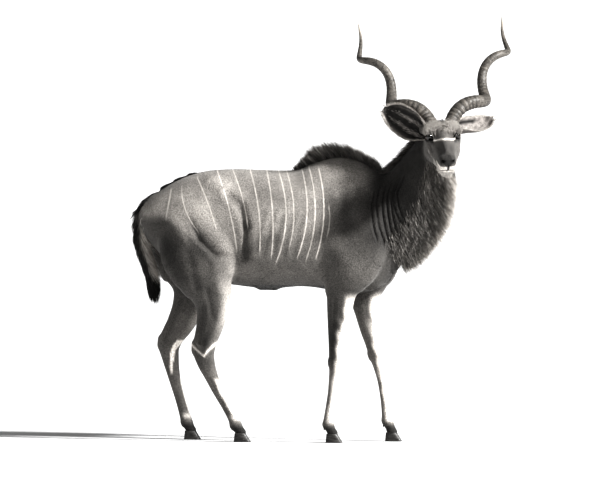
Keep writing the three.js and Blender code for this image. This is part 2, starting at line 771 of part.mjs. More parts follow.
const legRoom = Object.entries(legs).map(([name, limb]) =>
  limb.solid({ ...legParts[name.split("_")[0]][0], ...upperForm, grow: GAP }),
);
const neckSolid = wasm.Manifold.union([neck.solid({ rings: 15 }), ...neckMane, ...ruff])
  .subtract(torsoGrown)
  .subtract(headGrown)
  .subtract(wasm.Manifold.union(legRoom));
const tailBone = tail.solid({ rings: 14, endRound: 8 });
add("torso", wasm.Manifold.union([torso.solid(torsoForm), ...withersCrest, ...rumpCrest]), COAT);
add("neck", neckSolid, MANE);
add("tail", wasm.Manifold.union([tailBone, ...tailHair, ...tailTuft]).subtract(torsoGrown), MANE);
add("head", headSolid, FACE);

for (const [name, ear] of Object.entries(EARS)) {
  const hornRoom = hornLength(ear.side, HORN_CUTS[0], HORN_CUTS[1], HORN_RINGS[0], 2 * GAP);
  add(`ear_${name}`, onCrown(earSolid(ear).subtract(hornRoom)).subtract(headGrown), COAT);
  add(`eye_${name}`, onFace(eyeSolid(ear.side)), EYE);
  HORN_LENGTHS.forEach((part, i) => {
    const length = onCrown(hornLength(ear.side, HORN_CUTS[i], HORN_CUTS[i + 1], HORN_RINGS[i]));
    add(`horn_${name}_${part}`, length.subtract(headGrown), HORN);
  });
}

kudu.position.set(...FRAME_SHIFT, 0);
export default kudu;
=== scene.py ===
import math

import bmesh
import bpy
import numpy as np
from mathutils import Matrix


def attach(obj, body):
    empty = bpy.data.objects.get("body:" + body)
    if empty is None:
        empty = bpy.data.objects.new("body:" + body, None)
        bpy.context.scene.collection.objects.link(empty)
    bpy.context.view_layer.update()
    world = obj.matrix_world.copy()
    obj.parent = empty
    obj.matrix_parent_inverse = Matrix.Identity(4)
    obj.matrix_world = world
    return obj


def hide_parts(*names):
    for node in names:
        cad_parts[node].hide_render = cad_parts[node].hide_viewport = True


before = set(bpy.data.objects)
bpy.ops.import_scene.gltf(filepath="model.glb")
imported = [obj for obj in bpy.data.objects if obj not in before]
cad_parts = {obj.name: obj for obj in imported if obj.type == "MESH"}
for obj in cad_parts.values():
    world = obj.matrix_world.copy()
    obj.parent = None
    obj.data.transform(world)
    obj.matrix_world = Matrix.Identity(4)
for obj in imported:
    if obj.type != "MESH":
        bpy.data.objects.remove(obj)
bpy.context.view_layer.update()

import openvdb as vdb
from mathutils import Vector

MM = 0.001
SHIFT = np.array([-337.8, -58.0, 0.0])  # from the animal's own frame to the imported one
CHANCE = np.random.default_rng(4508)
UP = np.array([0.0, 0.0, 1.0])
FORWARD = np.array([1.0, 0.0, 0.0])
SIDES = (("left", 1), ("right", -1))

# Driving sizes
GRID_STEP = 6.5  # of the volume that the skin is drawn round
HEAD_CUTS = 3  # cuts across each face of the head
FAR = 160.0  # as far as distances are told
CLOSE = 60.0  # within which the finer forms are worked out
BATCH = 60000  # points worked out at a time
ROW_STEPS = 14  # sections of a limb for each row of its table
SKIN_DEPTH = 5.0  # of the skin under the solids' surface on the body
LEG_DEPTH = 1.5  # the same on the lower legs
FACE_DEPTH = 1.5  # and on the head
FOLD_HALF, FOLD_DEPTH = 5.5, 9.0  # of a crease in the neck
HEAD_ORIGIN = np.array([1001.0, -190.0, 1592.0])
HEAD_YAW, HEAD_PITCH, HEAD_ROLL = np.radians([73.0, 32.1, 3.6])
CROWN_ORIGIN = np.array([1001.0, -190.0, 1572.0])  # between the roots of the horns
CROWN_YAW = math.radians(76.3)
EYE_PLACE = np.array([60.0, 69.0, -30.0])
EYE_RADIUS = 20.0
HOOF_HEIGHT, HOOF_LENGTH, DIGIT_WIDTH = 46.0, 84.0, 29.0
EAR_LENGTH = 245.0


def unit(v):
    return v / np.maximum(np.linalg.norm(v, axis=-1, keepdims=True), 1e-9)


def dot(a, b):
    return (a * b).sum(-1)


def ease(x, low, high):
    """0 below low, 1 above high, smooth between."""
    t = np.clip((x - low) / (high - low), 0, 1)
    return t * t * (3 - 2 * t)


def near(x, middle, width):
    """1 at the middle, falling off over the width on both sides."""
    return np.exp(-(((x - middle) / width) ** 2))


def lie_on(way, normal):
    """A way turned until it lies on the surface with that normal."""
    return unit(way - normal * dot(way, normal)[:, None])


# The smooth limbs that the body is made of
def smooth_rows(rows, s):
    """Rows of sizes read off at s from 0 to 1, along a smooth curve through them."""
    rows = np.asarray(rows, float)
    last = len(rows) - 1
    place = np.clip(s, 0, 1) * last
    i = np.minimum(place.astype(int), last - 1)
    t = (place - i)[:, None]
    a, b, c, d = (rows[np.clip(i + k, 0, last)] for k in (-1, 0, 1, 2))
    return b + 0.5 * t * (c - a + t * (2 * a - 5 * b + 4 * c - d + t * (3 * (b - c) + d - a)))


def upright(rows):
    """Rows told as x, top, bottom, half width, egg."""
    full = [list(row) + [0] * (5 - len(row)) for row in rows]
    return [[x, 0, (top + bottom) / 2, side, (top - bottom) / 2, egg] for x, top, bottom, side, egg in full]


class Limb:
    """Oval sections along a smooth line. Rows: x, y, z, half width, half depth, egg, turn to the right."""

    def __init__(self, rows, level=False, power=2.1, cap=22.0):
        full = [list(row) + [0] * (7 - len(row)) for row in rows]
        self.level, self.power, self.cap = level, power, cap
        self.last_row = len(full) - 1
        self.count = ROW_STEPS * len(full)
        data = smooth_rows(full, np.linspace(0, 1, self.count))
        centre = data[:, :3]
        step = np.gradient(centre, axis=0)
        self.step = np.linalg.norm(step, axis=1)
        along = np.tile(FORWARD, (self.count, 1)) if level else unit(step)
        turn = np.radians(data[:, 6])
        left = np.stack([np.sin(turn), np.cos(turn), 0 * turn], 1)
        left = lie_on(left, along)
        ridge = np.cross(along, left)
        self.centre = centre
        self.table = np.hstack([centre, left, ridge, along, data[:, 3:6]])
        reach = np.maximum(data[:, 3], data[:, 4])[:, None] + FAR * 0.75
        self.low, self.high = (centre - reach).min(0), (centre + reach).max(0)

    def place(self, p):
        """Which section is next to each point, as a number that runs smoothly."""
        if self.level:
            return np.interp(p[:, 0], self.centre[:, 0], np.arange(self.count))
        far = (self.centre**2).sum(1)[None, :] - 2 * p @ self.centre.T
        i = far.argmin(1)
        w = dot(p - self.centre[i], self.table[i, 9:12])
        return np.clip(i + w / self.step[i], 0, self.count - 1)

    def section(self, place):
        """The section's row there: centre, left, ridge, along, half width, half depth and egg."""
        i = np.minimum(place.astype(int), self.count - 2)
        t = (place - i)[:, None]
        return self.table[i] * (1 - t) + self.table[i + 1] * t

    def local(self, p):
        """Place from 0 to 1, and the offsets to the left, to the ridge and along, and the section's row."""
        place = self.place(p)
        row = self.section(place)
        q = p - row[:, :3]
        return place / (self.count - 1), dot(q, row[:, 3:6]), dot(q, row[:, 6:9]), dot(q, row[:, 9:12]), row

    def value(self, p):
        """Distance outside the surface, below 0 inside."""
        out = np.full(len(p), FAR)
        close = np.flatnonzero(((p > self.low) & (p < self.high)).all(1))
        for part in np.array_split(close, max(1, len(close) // BATCH)):
            if not len(part):
                continue
            _, u, v, w, row = self.local(p[part])
            side, depth, egg = row[:, 12], row[:, 13], row[:, 14]
            width = side * (1 - egg * np.clip(v / depth, -1, 1))
            n = self.power
            rho = (np.abs(u / width) ** n + np.abs(v / depth) ** n + np.abs(w / self.cap) ** n) ** (1 / n)
            size = np.sqrt(u * u + v * v + w * w)
            out[part] = size - size / np.maximum(rho, 1e-6)
        return np.minimum(out, FAR)

    def spot(self, s, u, v):
        """The point at s whose offsets are u half widths and v half depths."""
        row = self.section(np.array([s * (self.count - 1)]))[0]
        return row[:3] + row[3:6] * u * row[12] + row[6:9] * v * row[13]


TORSO = Limb(
    upright([
        [-558, 1165, 1062, 52], [-520, 1210, 1005, 92], [-460, 1250, 935, 132],
        [-400, 1287, 878, 158, 0.05], [-320, 1327, 832, 178, 0.08], [-230, 1352, 802, 190, 0.1],
        [-140, 1362, 786, 197, 0.1], [-40, 1363, 772, 206, 0.06], [60, 1357, 762, 214, 0.04],
        [160, 1355, 764, 215, 0.06], [250, 1364, 771, 209, 0.12], [330, 1396, 767, 200, 0.18],
        [410, 1420, 754, 190, 0.24], [480, 1425, 744, 182, 0.26], [550, 1408, 742, 172, 0.22],
        [610, 1378, 750, 158, 0.15], [665, 1330, 768, 136, 0.05], [710, 1262, 805, 105],
        [742, 1180, 872, 64],
    ]),
    level=True,
    power=2.15,
    cap=26,
)
NECK = Limb(
    [
        [560, 0, 1065, 138, 225, 0, 0], [635, 0, 1088, 138, 238, 0, 0],
        [722, -6, 1145, 122, 205, 0, 4], [812, -22, 1230, 106, 172, 0.05, 12],
        [876, -45, 1330, 93, 148, 0.08, 24], [924, -68, 1425, 83, 128, 0.08, 38],
        [962, -84, 1492, 76, 108, 0, 52], [985, -98, 1535, 62, 80, 0, 62],
    ],
    cap=45,
)
HEAD = Limb(
    upright([
        [-98, -48, -140, 46], [-72, -22, -166, 64], [-36, -6, -188, 76], [0, -2, -198, 84],
        [36, 0, -196, 88], [66, 0, -188, 86, 0.04], [96, -2, -177, 79, 0.08],
        [126, -3, -165, 72, 0.1], [160, -4, -153, 65, 0.1], [196, -3, -141, 57, 0.08],
        [230, -3, -131, 51, 0.06], [258, -6, -123, 47, 0.04], [280, -14, -116, 41, 0.04],
    ]),
    level=True,
    power=2.4,
    cap=14,
)
LEGS = {
    "fore_right": Limb([
        [530, -92, 1230, 42, 66], [585, -124, 1080, 60, 108], [565, -137, 930, 66, 138],
        [512, -130, 825, 62, 118], [485, -120, 750, 52, 82], [473, -115, 645, 44, 66],
        [467, -112, 535, 38, 54], [462, -110, 455, 35, 45], [460, -108, 395, 35, 42],
        [450, -106, 335, 27, 32], [437, -104, 255, 20, 25], [425, -102, 180, 20, 24],
        [417, -101, 128, 22, 25], [416, -100, 94, 26, 29], [428, -100, 64, 25, 25],
        [437, -100, 46, 27, 27],
    ]),
    "fore_left": Limb([
        [505, 92, 1230, 42, 66], [590, 124, 1060, 60, 112], [618, 135, 905, 64, 122],
        [585, 130, 800, 58, 96], [560, 120, 715, 50, 74], [571, 115, 640, 44, 62],
        [586, 112, 562, 38, 51], [606, 110, 494, 35, 44], [625, 108, 430, 35, 41],
        [639, 106, 370, 27, 32], [652, 104, 308, 20, 26], [664, 102, 235, 20, 24],
        [673, 101, 165, 21, 25], [681, 100, 108, 26, 29], [694, 100, 70, 25, 25],
        [704, 100, 46, 27, 27],
    ]),
    "hind_right": Limb([
        [-290, -70, 1200, 45, 110], [-262, -112, 1070, 70, 180], [-238, -136, 955, 80, 203],
        [-217, -143, 870, 80, 182], [-195, -140, 800, 75, 146], [-173, -133, 730, 66, 109],
        [-168, -127, 655, 56, 85], [-183, -121, 580, 47, 72], [-203, -116, 512, 40, 62],
        [-213, -112, 448, 36, 55], [-202, -110, 392, 31, 46], [-180, -108, 335, 26, 36],
        [-144, -106, 255, 22, 28], [-102, -104, 180, 21, 25], [-72, -102, 125, 23, 26],
        [-54, -101, 88, 27, 30], [-38, -100, 62, 25, 26], [-28, -100, 46, 27, 27],
    ], power=2.2),
    "hind_left": Limb([
        [-350, 70, 1200, 45, 110], [-348, 112, 1070, 70, 180], [-338, 136, 955, 80, 200],
        [-324, 143, 870, 80, 178], [-310, 139, 800, 74, 145], [-314, 132, 730, 64, 111],
        [-340, 126, 655, 55, 87], [-377, 120, 580, 47, 73], [-415, 115, 517, 40, 62],
        [-431, 112, 462, 36, 54], [-425, 110, 410, 31, 45], [-414, 108, 352, 26, 36],
        [-397, 106, 280, 22, 29], [-375, 104, 205, 21, 26], [-356, 102, 142, 23, 27],
        [-340, 101, 92, 27, 30], [-326, 100, 62, 25, 26], [-318, 100, 46, 27, 27],
    ], power=2.2),
}
TAIL = Limb(
    [
        [-430, 0, 1205, 30, 30], [-480, 0, 1212, 26, 24], [-522, 0, 1180, 22, 20],
        [-551, 0, 1122, 19, 17], [-562, 0, 1055, 17, 16], [-553, 0, 980, 16, 15],
        [-530, 0, 905, 15, 15], [-512, 0, 850, 14, 14], [-502, 0, 808, 14, 15],
        [-497, 0, 775, 10, 12],
    ],
    cap=9,
)


# The frames of the face and of the crown: x towards the nose, y to the left, z out of the forehead
def axes_at(yaw):
    ahead = np.array([math.cos(yaw), -math.sin(yaw), 0])
    nose = ahead * math.cos(HEAD_PITCH) - UP * math.sin(HEAD_PITCH)
    brow = ahead * math.sin(HEAD_PITCH) + UP * math.cos(HEAD_PITCH)
    level = np.cross(brow, nose)
    left = level * math.cos(HEAD_ROLL) + brow * math.sin(HEAD_ROLL)
    return np.stack([nose, left, np.cross(nose, left)])


HEAD_AXES, CROWN_AXES = axes_at(HEAD_YAW), axes_at(CROWN_YAW)


def to_head(p):
    return (p - HEAD_ORIGIN) @ HEAD_AXES.T


def from_head(p):
    return np.asarray(p) @ HEAD_AXES + HEAD_ORIGIN


def to_crown(p):
    return (p - CROWN_ORIGIN) @ CROWN_AXES.T


def from_crown(p):
    return np.asarray(p) @ CROWN_AXES + CROWN_ORIGIN


# Ridges above 0 and grooves below it, each as start, end, width and height
TORSO_RELIEF = [
    ([-110, 150, 1265], [-175, 115, 1305], 44, 13),  # point of the hip
    ([-83, 175, 1245], [-12, 195, 1180], 21, -17),  # crease of the flank
    ([-12, 195, 1180], [18, 195, 1085], 20, -20),
    ([18, 195, 1085], [12, 180, 925], 19, -18),
    ([55, 190, 1250], [170, 195, 1215], 46, -13),  # hollow behind the ribs
    ([-430, 0, 1275], [300, 0, 1385], 20, 5),  # spine
    ([-470, 95, 1140], [-505, 85, 1080], 42, 10),  # point of the buttock
    ([140, 205, 1010], [-90, 185, 905], 40, -7),  # edge of the ribs over the belly
    ([60, 190, 1080], [52, 185, 940], 20, 7),  # fold in front of the crease
    ([515, 105, 1372], [590, 158, 1060], 22, 8),  # spine of the shoulder blade
    ([455, 130, 1350], [540, 170, 1090], 30, -5),
    ([405, 150, 1330], [405, 185, 880], 42, -9),  # behind the shoulder
    ([470, 170, 985], [520, 168, 880], 55, 14),  # triceps
    ([600, 150, 960], [560, 160, 850], 40, 8),
    ([655, 60, 900], [640, 50, 800], 40, 10),  # breast
    ([60, 0, 764], [130, 0, 764], 24, 12),  # sheath
]
RIB_RELIEF = [([150 + 50 * k, 200, 1250], [75 + 50 * k, 208, 930], 15, 2.6) for k in range(5)]
FOLD_HEIGHTS = [1015, 1075, 1135, 1190, 1250, 1330]
NECK_FOLDS = [  # x of each crease at those heights, then its lowest and highest point
    [870, 826, 792, 772, 766, 802, 1075, 1350],
    [836, 800, 768, 750, 750, 782, 1060, 1345],
    [772, 757, 745, 736, 738, 766, 1015, 1345],
    [745, 731, 721, 714, 718, 743, 1000, 1330],
    [722, 706, 695, 690, 695, 720, 985, 1320],
    [700, 680, 668, 662, 668, 694, 975, 1300],
    [672, 656, 645, 640, 648, 672, 1000, 1270],
]
FORE_RELIEF = [  # place along the limb, then half widths outward and half depths forward
    ((4.0, 0, -0.9), (3.7, 0.2, -0.9), 26, 11),  # elbow
    ((4.2, 0.7, 0.4), (6.2, 0.5, 0.4), 24, 6),
    ((4.3, 0.8, -0.3), (6.6, 0.7, -0.35), 9, -4),
    ((8.0, 0, 0.95), (7.7, 0.2, 0.9), 20, 4),  # knee
    ((7.8, 0, -1.0), (8.1, 0, -1.0), 15, 7),
    ((9.2, 0.95, -0.3), (12.5, 0.95, -0.3), 7, -3.5),  # between bone and tendon
    ((9.2, -0.95, -0.3), (12.5, -0.95, -0.3), 7, -3.5),
    ((13.0, 0, -1.0), (13.2, 0, -1.0), 14, 5),
]
HIND_RELIEF = [
    ((3.1, 0.55, 0.85), (3.7, 0.4, 0.9), 40, 10),  # stifle
    ((0.6, 0.9, 0.42), (2.3, 0.95, 0.72), 50, 20),  # muscle from the hip to the stifle
    ((0.8, 0.9, -0.02), (1.6, 1.0, 0.18), 18, -18),  # its lower edge
    ((1.6, 1.0, 0.18), (2.5, 1.0, 0.5), 19, -25),
    ((2.5, 1.0, 0.5), (2.9, 0.9, 0.95), 17, -24),
    ((0.7, 0.9, -0.5), (1.5, 0.95, -0.25), 32, 12),
    ((1.5, 0.9, -0.8), (3.2, 0.9, -0.72), 55, -20),  # back of the thigh
    ((2.2, 0.95, -0.2), (4.2, 0.9, -0.35), 27, -8),
    ((3.2, 0.9, 0.45), (4.6, 0.85, 0.45), 34, 9),
    ((4.4, 0.9, 0.0), (6.4, 0.8, 0.2), 15, -4),
    ((5.6, 0.7, -0.4), (8.3, 0.7, -0.35), 13, -8),  # in front of the tendon
    ((5.6, -0.7, -0.4), (8.3, -0.7, -0.35), 13, -6),
    ((8.5, 0, -1.05), (8.9, 0, -1.0), 24, 12),  # point of the hock
    ((9.0, 0.9, 0.2), (9.5, 0.9, 0.1), 17, 4),
    ((11.2, 0.95, -0.3), (14.2, 0.95, -0.3), 7, -4),
    ((11.2, -0.95, -0.3), (14.2, -0.95, -0.3), 7, -4),
    ((15.0, 0, -1.0), (15.2, 0, -1.0), 14, 5),
]
FACE_RELIEF = [
    ([30, 72, -8], [64, 86, -6], 16, 9),  # brow
    ([64, 86, -6], [88, 70, -16], 13, 8),
    ([34, 84, -46], [84, 80, -48], 13, 5),  # under the eye
    ([92, 74, -40], [128, 66, -56], 9, -7),  # below the inner corner
    ([52, 86, -66], [140, 68, -74], 14, 6),  # cheekbone
    ([20, 80, -120], [45, 80, -160], 36, 7),  # jaw muscle
    ([90, 76, -104], [196, 58, -96], 14, -5),
    ([70, 0, -2], [238, 0, -3], 15, 6),  # bridge of the nose
    ([84, 52, -8], [225, 36, -10], 21, -15),
    ([120, 76, -45], [215, 58, -50], 24, -6),
    ([262, 32, -26], [280, 25, -22], 12, 7),  # wing of the nostril
    ([272, 12, -14], [282, 0, -20], 12, 4),
    ([232, 48, -62], [286, 14, -62], 11, 6),  # upper lip
    ([226, 46, -98], [280, 10, -96], 10, 6),  # lower lip
    ([204, 56, -78], [262, 46, -80], 4.5, -7),  # mouth
    ([262, 46, -80], [300, 0, -81], 4.5, -9),
    ([286, 0, -76], [296, 0, -50], 3.5, -5),  # between the halves of the upper lip
    ([252, 0, -124], [266, 0, -118], 18, 5),  # chin
    ([-6, 44, 6], [10, 40, 4], 30, 7),  # round the horn's root
]


def mirrored(p):
    """Points folded over to the left side."""
    return p * np.where(p[:, 1:2] < 0, [1, -1, 1], [1, 1, 1])


def relief(p, strokes):
    """Height of all the ridges and grooves at each point."""
    total = np.zeros(len(p))
    for start, end, width, height in strokes:
        start, end = np.array(start, float), np.array(end, float)
        way = end - start
        t = np.clip((p - start) @ way / max(way @ way, 1e-6), 0, 1)
        square = ((p - start - t[:, None] * way) ** 2).sum(1)
        total += height * np.exp(-square / width**2)
    return total


def folds(p):
    """1 in the creases down the side of the neck, 0 away from them."""
    total = np.zeros(len(p))
    height = p[:, 2]
    for *places, low, high in NECK_FOLDS:
        x = np.interp(height, FOLD_HEIGHTS, places)
        ends = ease(height, low - 30, low + 50) * (1 - ease(height, high - 60, high + 10))
        total += near(p[:, 0], x, FOLD_HALF) * ends
    return np.minimum(total, 1) * ease(np.abs(p[:, 1] + 20), 40, 90)


def leg_strokes(name, limb):
    """A leg's ridges and grooves, turned into points."""
    rows = FORE_RELIEF if name.startswith("fore") else HIND_RELIEF
    last = limb.last_row
    out = -1 if name.endswith("right") else 1
    return [
        (limb.spot(a[0] / last, out * a[1], a[2]), limb.spot(b[0] / last, out * b[1], b[2]), width, height)
        for a, b, width, height in rows
    ]


LEG_STROKES = {name: leg_strokes(name, limb) for name, limb in LEGS.items()}


# How widely the parts run into each other
NECK_BLEND, LEG_BLEND, TAIL_BLEND, HEAD_BLEND, EAR_BLEND = 70, 34, 14, 26, 16


def smooth_min(a, b, k):
    """The smaller of two distances, rounded where they meet."""
    h = np.clip(0.5 + 0.5 * (b - a) / k, 0, 1)
    return b * (1 - h) + a * h - k * h * (1 - h)


# Ears: thin cups, rolled into a tube at the root
EARS = {  # side, root, way of the tip, way of the hollow, length and breadth
    "right": (-1, [-34, -64, -46], [-0.18, -0.87, 0.47], [0.92, -0.12, 0.25], EAR_LENGTH * 1.03, 1.14),
    "left": (1, [-34, 64, -50], [-0.35, 0.93, 0.16], [0.3, -0.1, 0.95], EAR_LENGTH * 0.87, 0.78),
}
EAR_PROFILE = [  # radius, half angle and lean, from the root to the tip
    [26, 150, 0], [34, 128, 4], [50, 98, 6], [66, 76, 4], [76, 62, 0],
    [79, 55, -4], [75, 49, -8], [60, 41, -10], [24, 36, -10],
]


EAR_LINING, EAR_BACK = 0.8, 4.6  # depths of its two sheets


def ear_point(ear, t, w, depth):
    """Crown-frame points of a cup at t along it, w across from -1 to 1, and a depth behind its lining."""
    side, root, point, face, length, broad = EARS[ear]
    along = unit(np.array(point))
    hollow = unit(np.array(face) - along * dot(np.array(face), along))
    across = np.cross(along, hollow) * side
    radius, angle, lean = smooth_rows(EAR_PROFILE, np.asarray(t)).T
    turn = np.radians(angle) * w
    r = radius * broad + depth
    place = np.array(root) + along * (-22 + (length + 22) * np.asarray(t) ** 0.9)[:, None]
    place = place + across * (r * np.sin(turn))[:, None]
    return place + hollow * (radius * broad * 0.55 - r * np.cos(turn) + lean)[:, None]


def ear_butt(h, ear):
    """The fleshy root of the ear, as a distance in the crown's frame."""
    side, root, point, _, _, broad = EARS[ear]
    start = np.array(root, float) + np.array([6, -side * 14, 4])
    way = unit(np.array(point)) * 40
    t = np.clip((h - start) @ way / (way @ way), 0, 1)
    return np.linalg.norm(h - start - t[:, None] * way, axis=1) - 24 * broad**0.5


EYE_SOCKET = np.array([54.0, 76.0, -26.0])
EYE_SOCKET_SIZE = np.array([38.0, 40.0, 27.0])
EYE_SOCKET_HEIGHT = 12.0
UPPER_LID, LOWER_LID, EYE_HALF = 11.5, 9.5, 22.0  # heights and half length of the eye's opening
LID_HEIGHT, CREASE_DEPTH = 4.0, 2.5
NOSTRIL = np.array([284.0, 24.0, -31.0])
NOSTRIL_TURN = np.array([[0.8, -0.6, 0.0], [0.6, 0.8, 0.0], [0.0, 0.0, 1.0]])
NOSTRIL_SIZE = np.array([9.0, 13.0, 6.5])


def almond(h):
    """Distance from the edge of the opening between the lids, below 0 in it."""
    x, z = h[:, 0] - EYE_PLACE[0], h[:, 2] - EYE_PLACE[2]
    x = x + 0.35 * (h[:, 1] - 80.0) - 5.0
    x, z = x + 0.15 * z, z + 0.16 * x
    half = np.where(z > 0, UPPER_LID, LOWER_LID)
    return (np.abs(z) - half * (1 - (x / EYE_HALF) ** 2)) * 0.8


def head_value(h):
    """Distance outside the head's skin, with its lids and nostrils, in the face's frame."""
    h = mirrored(h)
    value = HEAD.value(h) + FACE_DEPTH - relief(h, FACE_RELIEF)
    value -= EYE_SOCKET_HEIGHT * np.exp(-(((h - EYE_SOCKET) / EYE_SOCKET_SIZE) ** 2).sum(1))
    lids = almond(h)
    outer = h[:, 1] > 50
    value = value - np.where(outer, LID_HEIGHT * near(lids, 2.5, 3.2), 0)
    crease = near(lids, 9.5, 1.8) * (h[:, 2] > EYE_PLACE[2])
    value = value + np.where(outer, CREASE_DEPTH * crease, 0)
    nostril = (h - NOSTRIL) @ NOSTRIL_TURN.T / NOSTRIL_SIZE
    value = np.maximum(value, (1 - np.linalg.norm(nostril, axis=1)) * NOSTRIL_SIZE[2])
    return np.where(outer, np.maximum(value, -lids), value)


def parts(p):
    """Each part's own distance."""
    out = {"torso": TORSO.value(p), "neck": NECK.value(p)}
    for name, limb in LEGS.items():
        out[name] = limb.value(p)
    out["tail"] = TAIL.value(p)
    h = to_head(p)
    head = np.full(len(p), FAR)
    close = ((h > [-230, -210, -270]) & (h < [400, 210, 120])).all(1)
    head[close] = head_value(h[close])
    crown = to_crown(p)
    for ear in EARS:
        butt = ear_butt(crown, ear)
        close = (butt < CLOSE) & (head < FAR)
        head[close] = smooth_min(head[close], butt[close], EAR_BLEND)
    out["head"] = np.minimum(head, FAR)
    return out


def skin_value(p):
    """Distance outside the whole skin."""
    d = parts(p)
    value = smooth_min(d["torso"], d["neck"], NECK_BLEND) + SKIN_DEPTH
    for name in LEGS:
        close = d[name] < CLOSE
        strokes = np.zeros(len(p))
        strokes[close] = relief(p[close], LEG_STROKES[name])
        own = d[name] + SKIN_DEPTH * ease(p[:, 2], 300, 800) + LEG_DEPTH - strokes
        value = smooth_min(value, own, LEG_BLEND)
    value = smooth_min(value, d["tail"], TAIL_BLEND)
    close = np.abs(value) < CLOSE
    q = mirrored(p[close])
    value[close] -= relief(q, TORSO_RELIEF + RIB_RELIEF) - FOLD_DEPTH * folds(p[close])
    return smooth_min(value, d["head"], HEAD_BLEND)


SLOPE_REACH = 0.6
LONGEST_STEP = 6.0


def slope(p):
    """Distance from the skin, and the way in which it grows."""
    here = skin_value(p)
    ahead = [skin_value(p + SLOPE_REACH * axis) for axis in np.eye(3)]
    return here, np.stack([(a - here) / SLOPE_REACH for a in ahead], 1)


# The skin's mesh
LOW = np.array([-620.0, -480.0, HOOF_HEIGHT - 2 * GRID_STEP])
HIGH = np.array([1130.0, 260.0, 1670.0])
BLOCK = 4  # grid steps along the side of the blocks that are looked at first
NEAR_BLOCK = 1.35  # of a block's width, within which its points are told one by one
GRID_BATCH = 400000


def volume():
    """Distances on a fine grid, told exactly only near the skin."""
    wide = GRID_STEP * BLOCK
    shape = np.ceil((HIGH - LOW) / wide).astype(int)
    axes = [LOW[k] + wide * (np.arange(shape[k]) + 0.5) for k in range(3)]
    middles = np.stack(np.meshgrid(*axes, indexing="ij"), -1).reshape(-1, 3)
    rough = skin_value(middles)
    fine = rough.reshape(shape)
    for axis in range(3):
        fine = np.repeat(fine, BLOCK, axis)
    close = np.flatnonzero(np.abs(rough) < wide * NEAR_BLOCK)
    inner = np.stack(np.meshgrid(*[np.arange(BLOCK)] * 3, indexing="ij"), -1).reshape(-1, 3)
    corner = np.stack(np.unravel_index(close, shape), 1) * BLOCK
    index = (corner[:, None, :] + inner[None]).reshape(-1, 3)
    for part in np.array_split(index, max(1, len(index) // GRID_BATCH)):
        fine[tuple(part.T)] = skin_value(LOW + GRID_STEP * (part + 0.5))
    return fine


def skin_faces():
    """Points and four-sided faces all over the skin."""
    grid = vdb.FloatGrid()
    grid.copyFromArray(volume().astype(np.float32))
    points, quads = grid.convertToQuads(isovalue=0.0)
    return LOW + GRID_STEP * (points + 0.5), quads


def mesh_of(name, points, faces):
    """A smooth mesh from points in the animal's own frame."""
    mesh = bpy.data.meshes.new(name)
    faces = np.asarray(faces, np.int32)
    mesh.vertices.add(len(points))
    mesh.vertices.foreach_set("co", ((np.asarray(points) + SHIFT) * MM).astype(np.float32).ravel())
    mesh.loops.add(faces.size)
    mesh.loops.foreach_set("vertex_index", faces.ravel())
    mesh.polygons.add(len(faces))
    mesh.polygons.foreach_set("loop_start", np.arange(0, faces.size, faces.shape[1], dtype=np.int32))
    mesh.update(calc_edges=True)
    mesh.validate()
    mesh.polygons.foreach_set("use_smooth", np.ones(len(mesh.polygons), bool))
    return mesh


def piece(mesh, material, nodes):
    """Places a finished mesh in the scene, in place of the nodes that it stands for."""
    thing = bpy.data.objects.new(mesh.name, mesh)
    bpy.context.scene.collection.objects.link(thing)
    thing.data.materials.append(material)
    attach(thing, "root")
    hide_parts(*nodes)


def points_of(mesh):
    co = np.empty(len(mesh.vertices) * 3, np.float32)
    mesh.vertices.foreach_get("co", co)
    return co.reshape(-1, 3).astype(float) / MM - SHIFT


def set_points(mesh, points):
    mesh.vertices.foreach_set("co", ((points + SHIFT) * MM).astype(np.float32).ravel())
    mesh.update()


def reworked(mesh, work):
    """Has a function work on the mesh's editable form."""
    form = bmesh.new()
    form.from_mesh(mesh)
    work(form)
    form.to_mesh(mesh)
    form.free()


def cut_head(form):
    """Cuts the faces of the head smaller."""
    h = to_head(np.array([v.co[:] for v in form.verts]) / MM - SHIFT)
    wanted = (h[:, 0] > -40) & (HEAD.value(mirrored(h)) < 30) & (h[:, 2] > -200)
    edges = [e for e in form.edges if all(wanted[v.index] for v in e.verts)]
    bmesh.ops.subdivide_edges(form, edges=edges, cuts=HEAD_CUTS, use_grid_fill=True)
    bmesh.ops.triangulate(form, faces=[f for f in form.faces if len(f.verts) > 4])


def turn_out(form):
    bmesh.ops.recalc_face_normals(form, faces=form.faces)


def close_ends(form):
    bmesh.ops.holes_fill(form, edges=[e for e in form.edges if e.is_boundary], sides=0)
    turn_out(form)


def tube_faces(rows, columns):
    """The faces between rings of points, joined round."""
    i, j = np.meshgrid(np.arange(rows - 1), np.arange(columns), indexing="ij")
    a, b = (i * columns + j).ravel(), (i * columns + (j + 1) % columns).ravel()
    return np.stack([a, b, b + columns, a + columns], 1)


def drawn_to_skin(points):
    """Moves points onto the exact skin, a short step at a time."""
    for _ in range(3):
        here, lean = slope(points)
        steep = np.maximum((lean**2).sum(1), 0.2)
        points = points - lean * np.clip(here / steep, -LONGEST_STEP, LONGEST_STEP)[:, None]
    return points


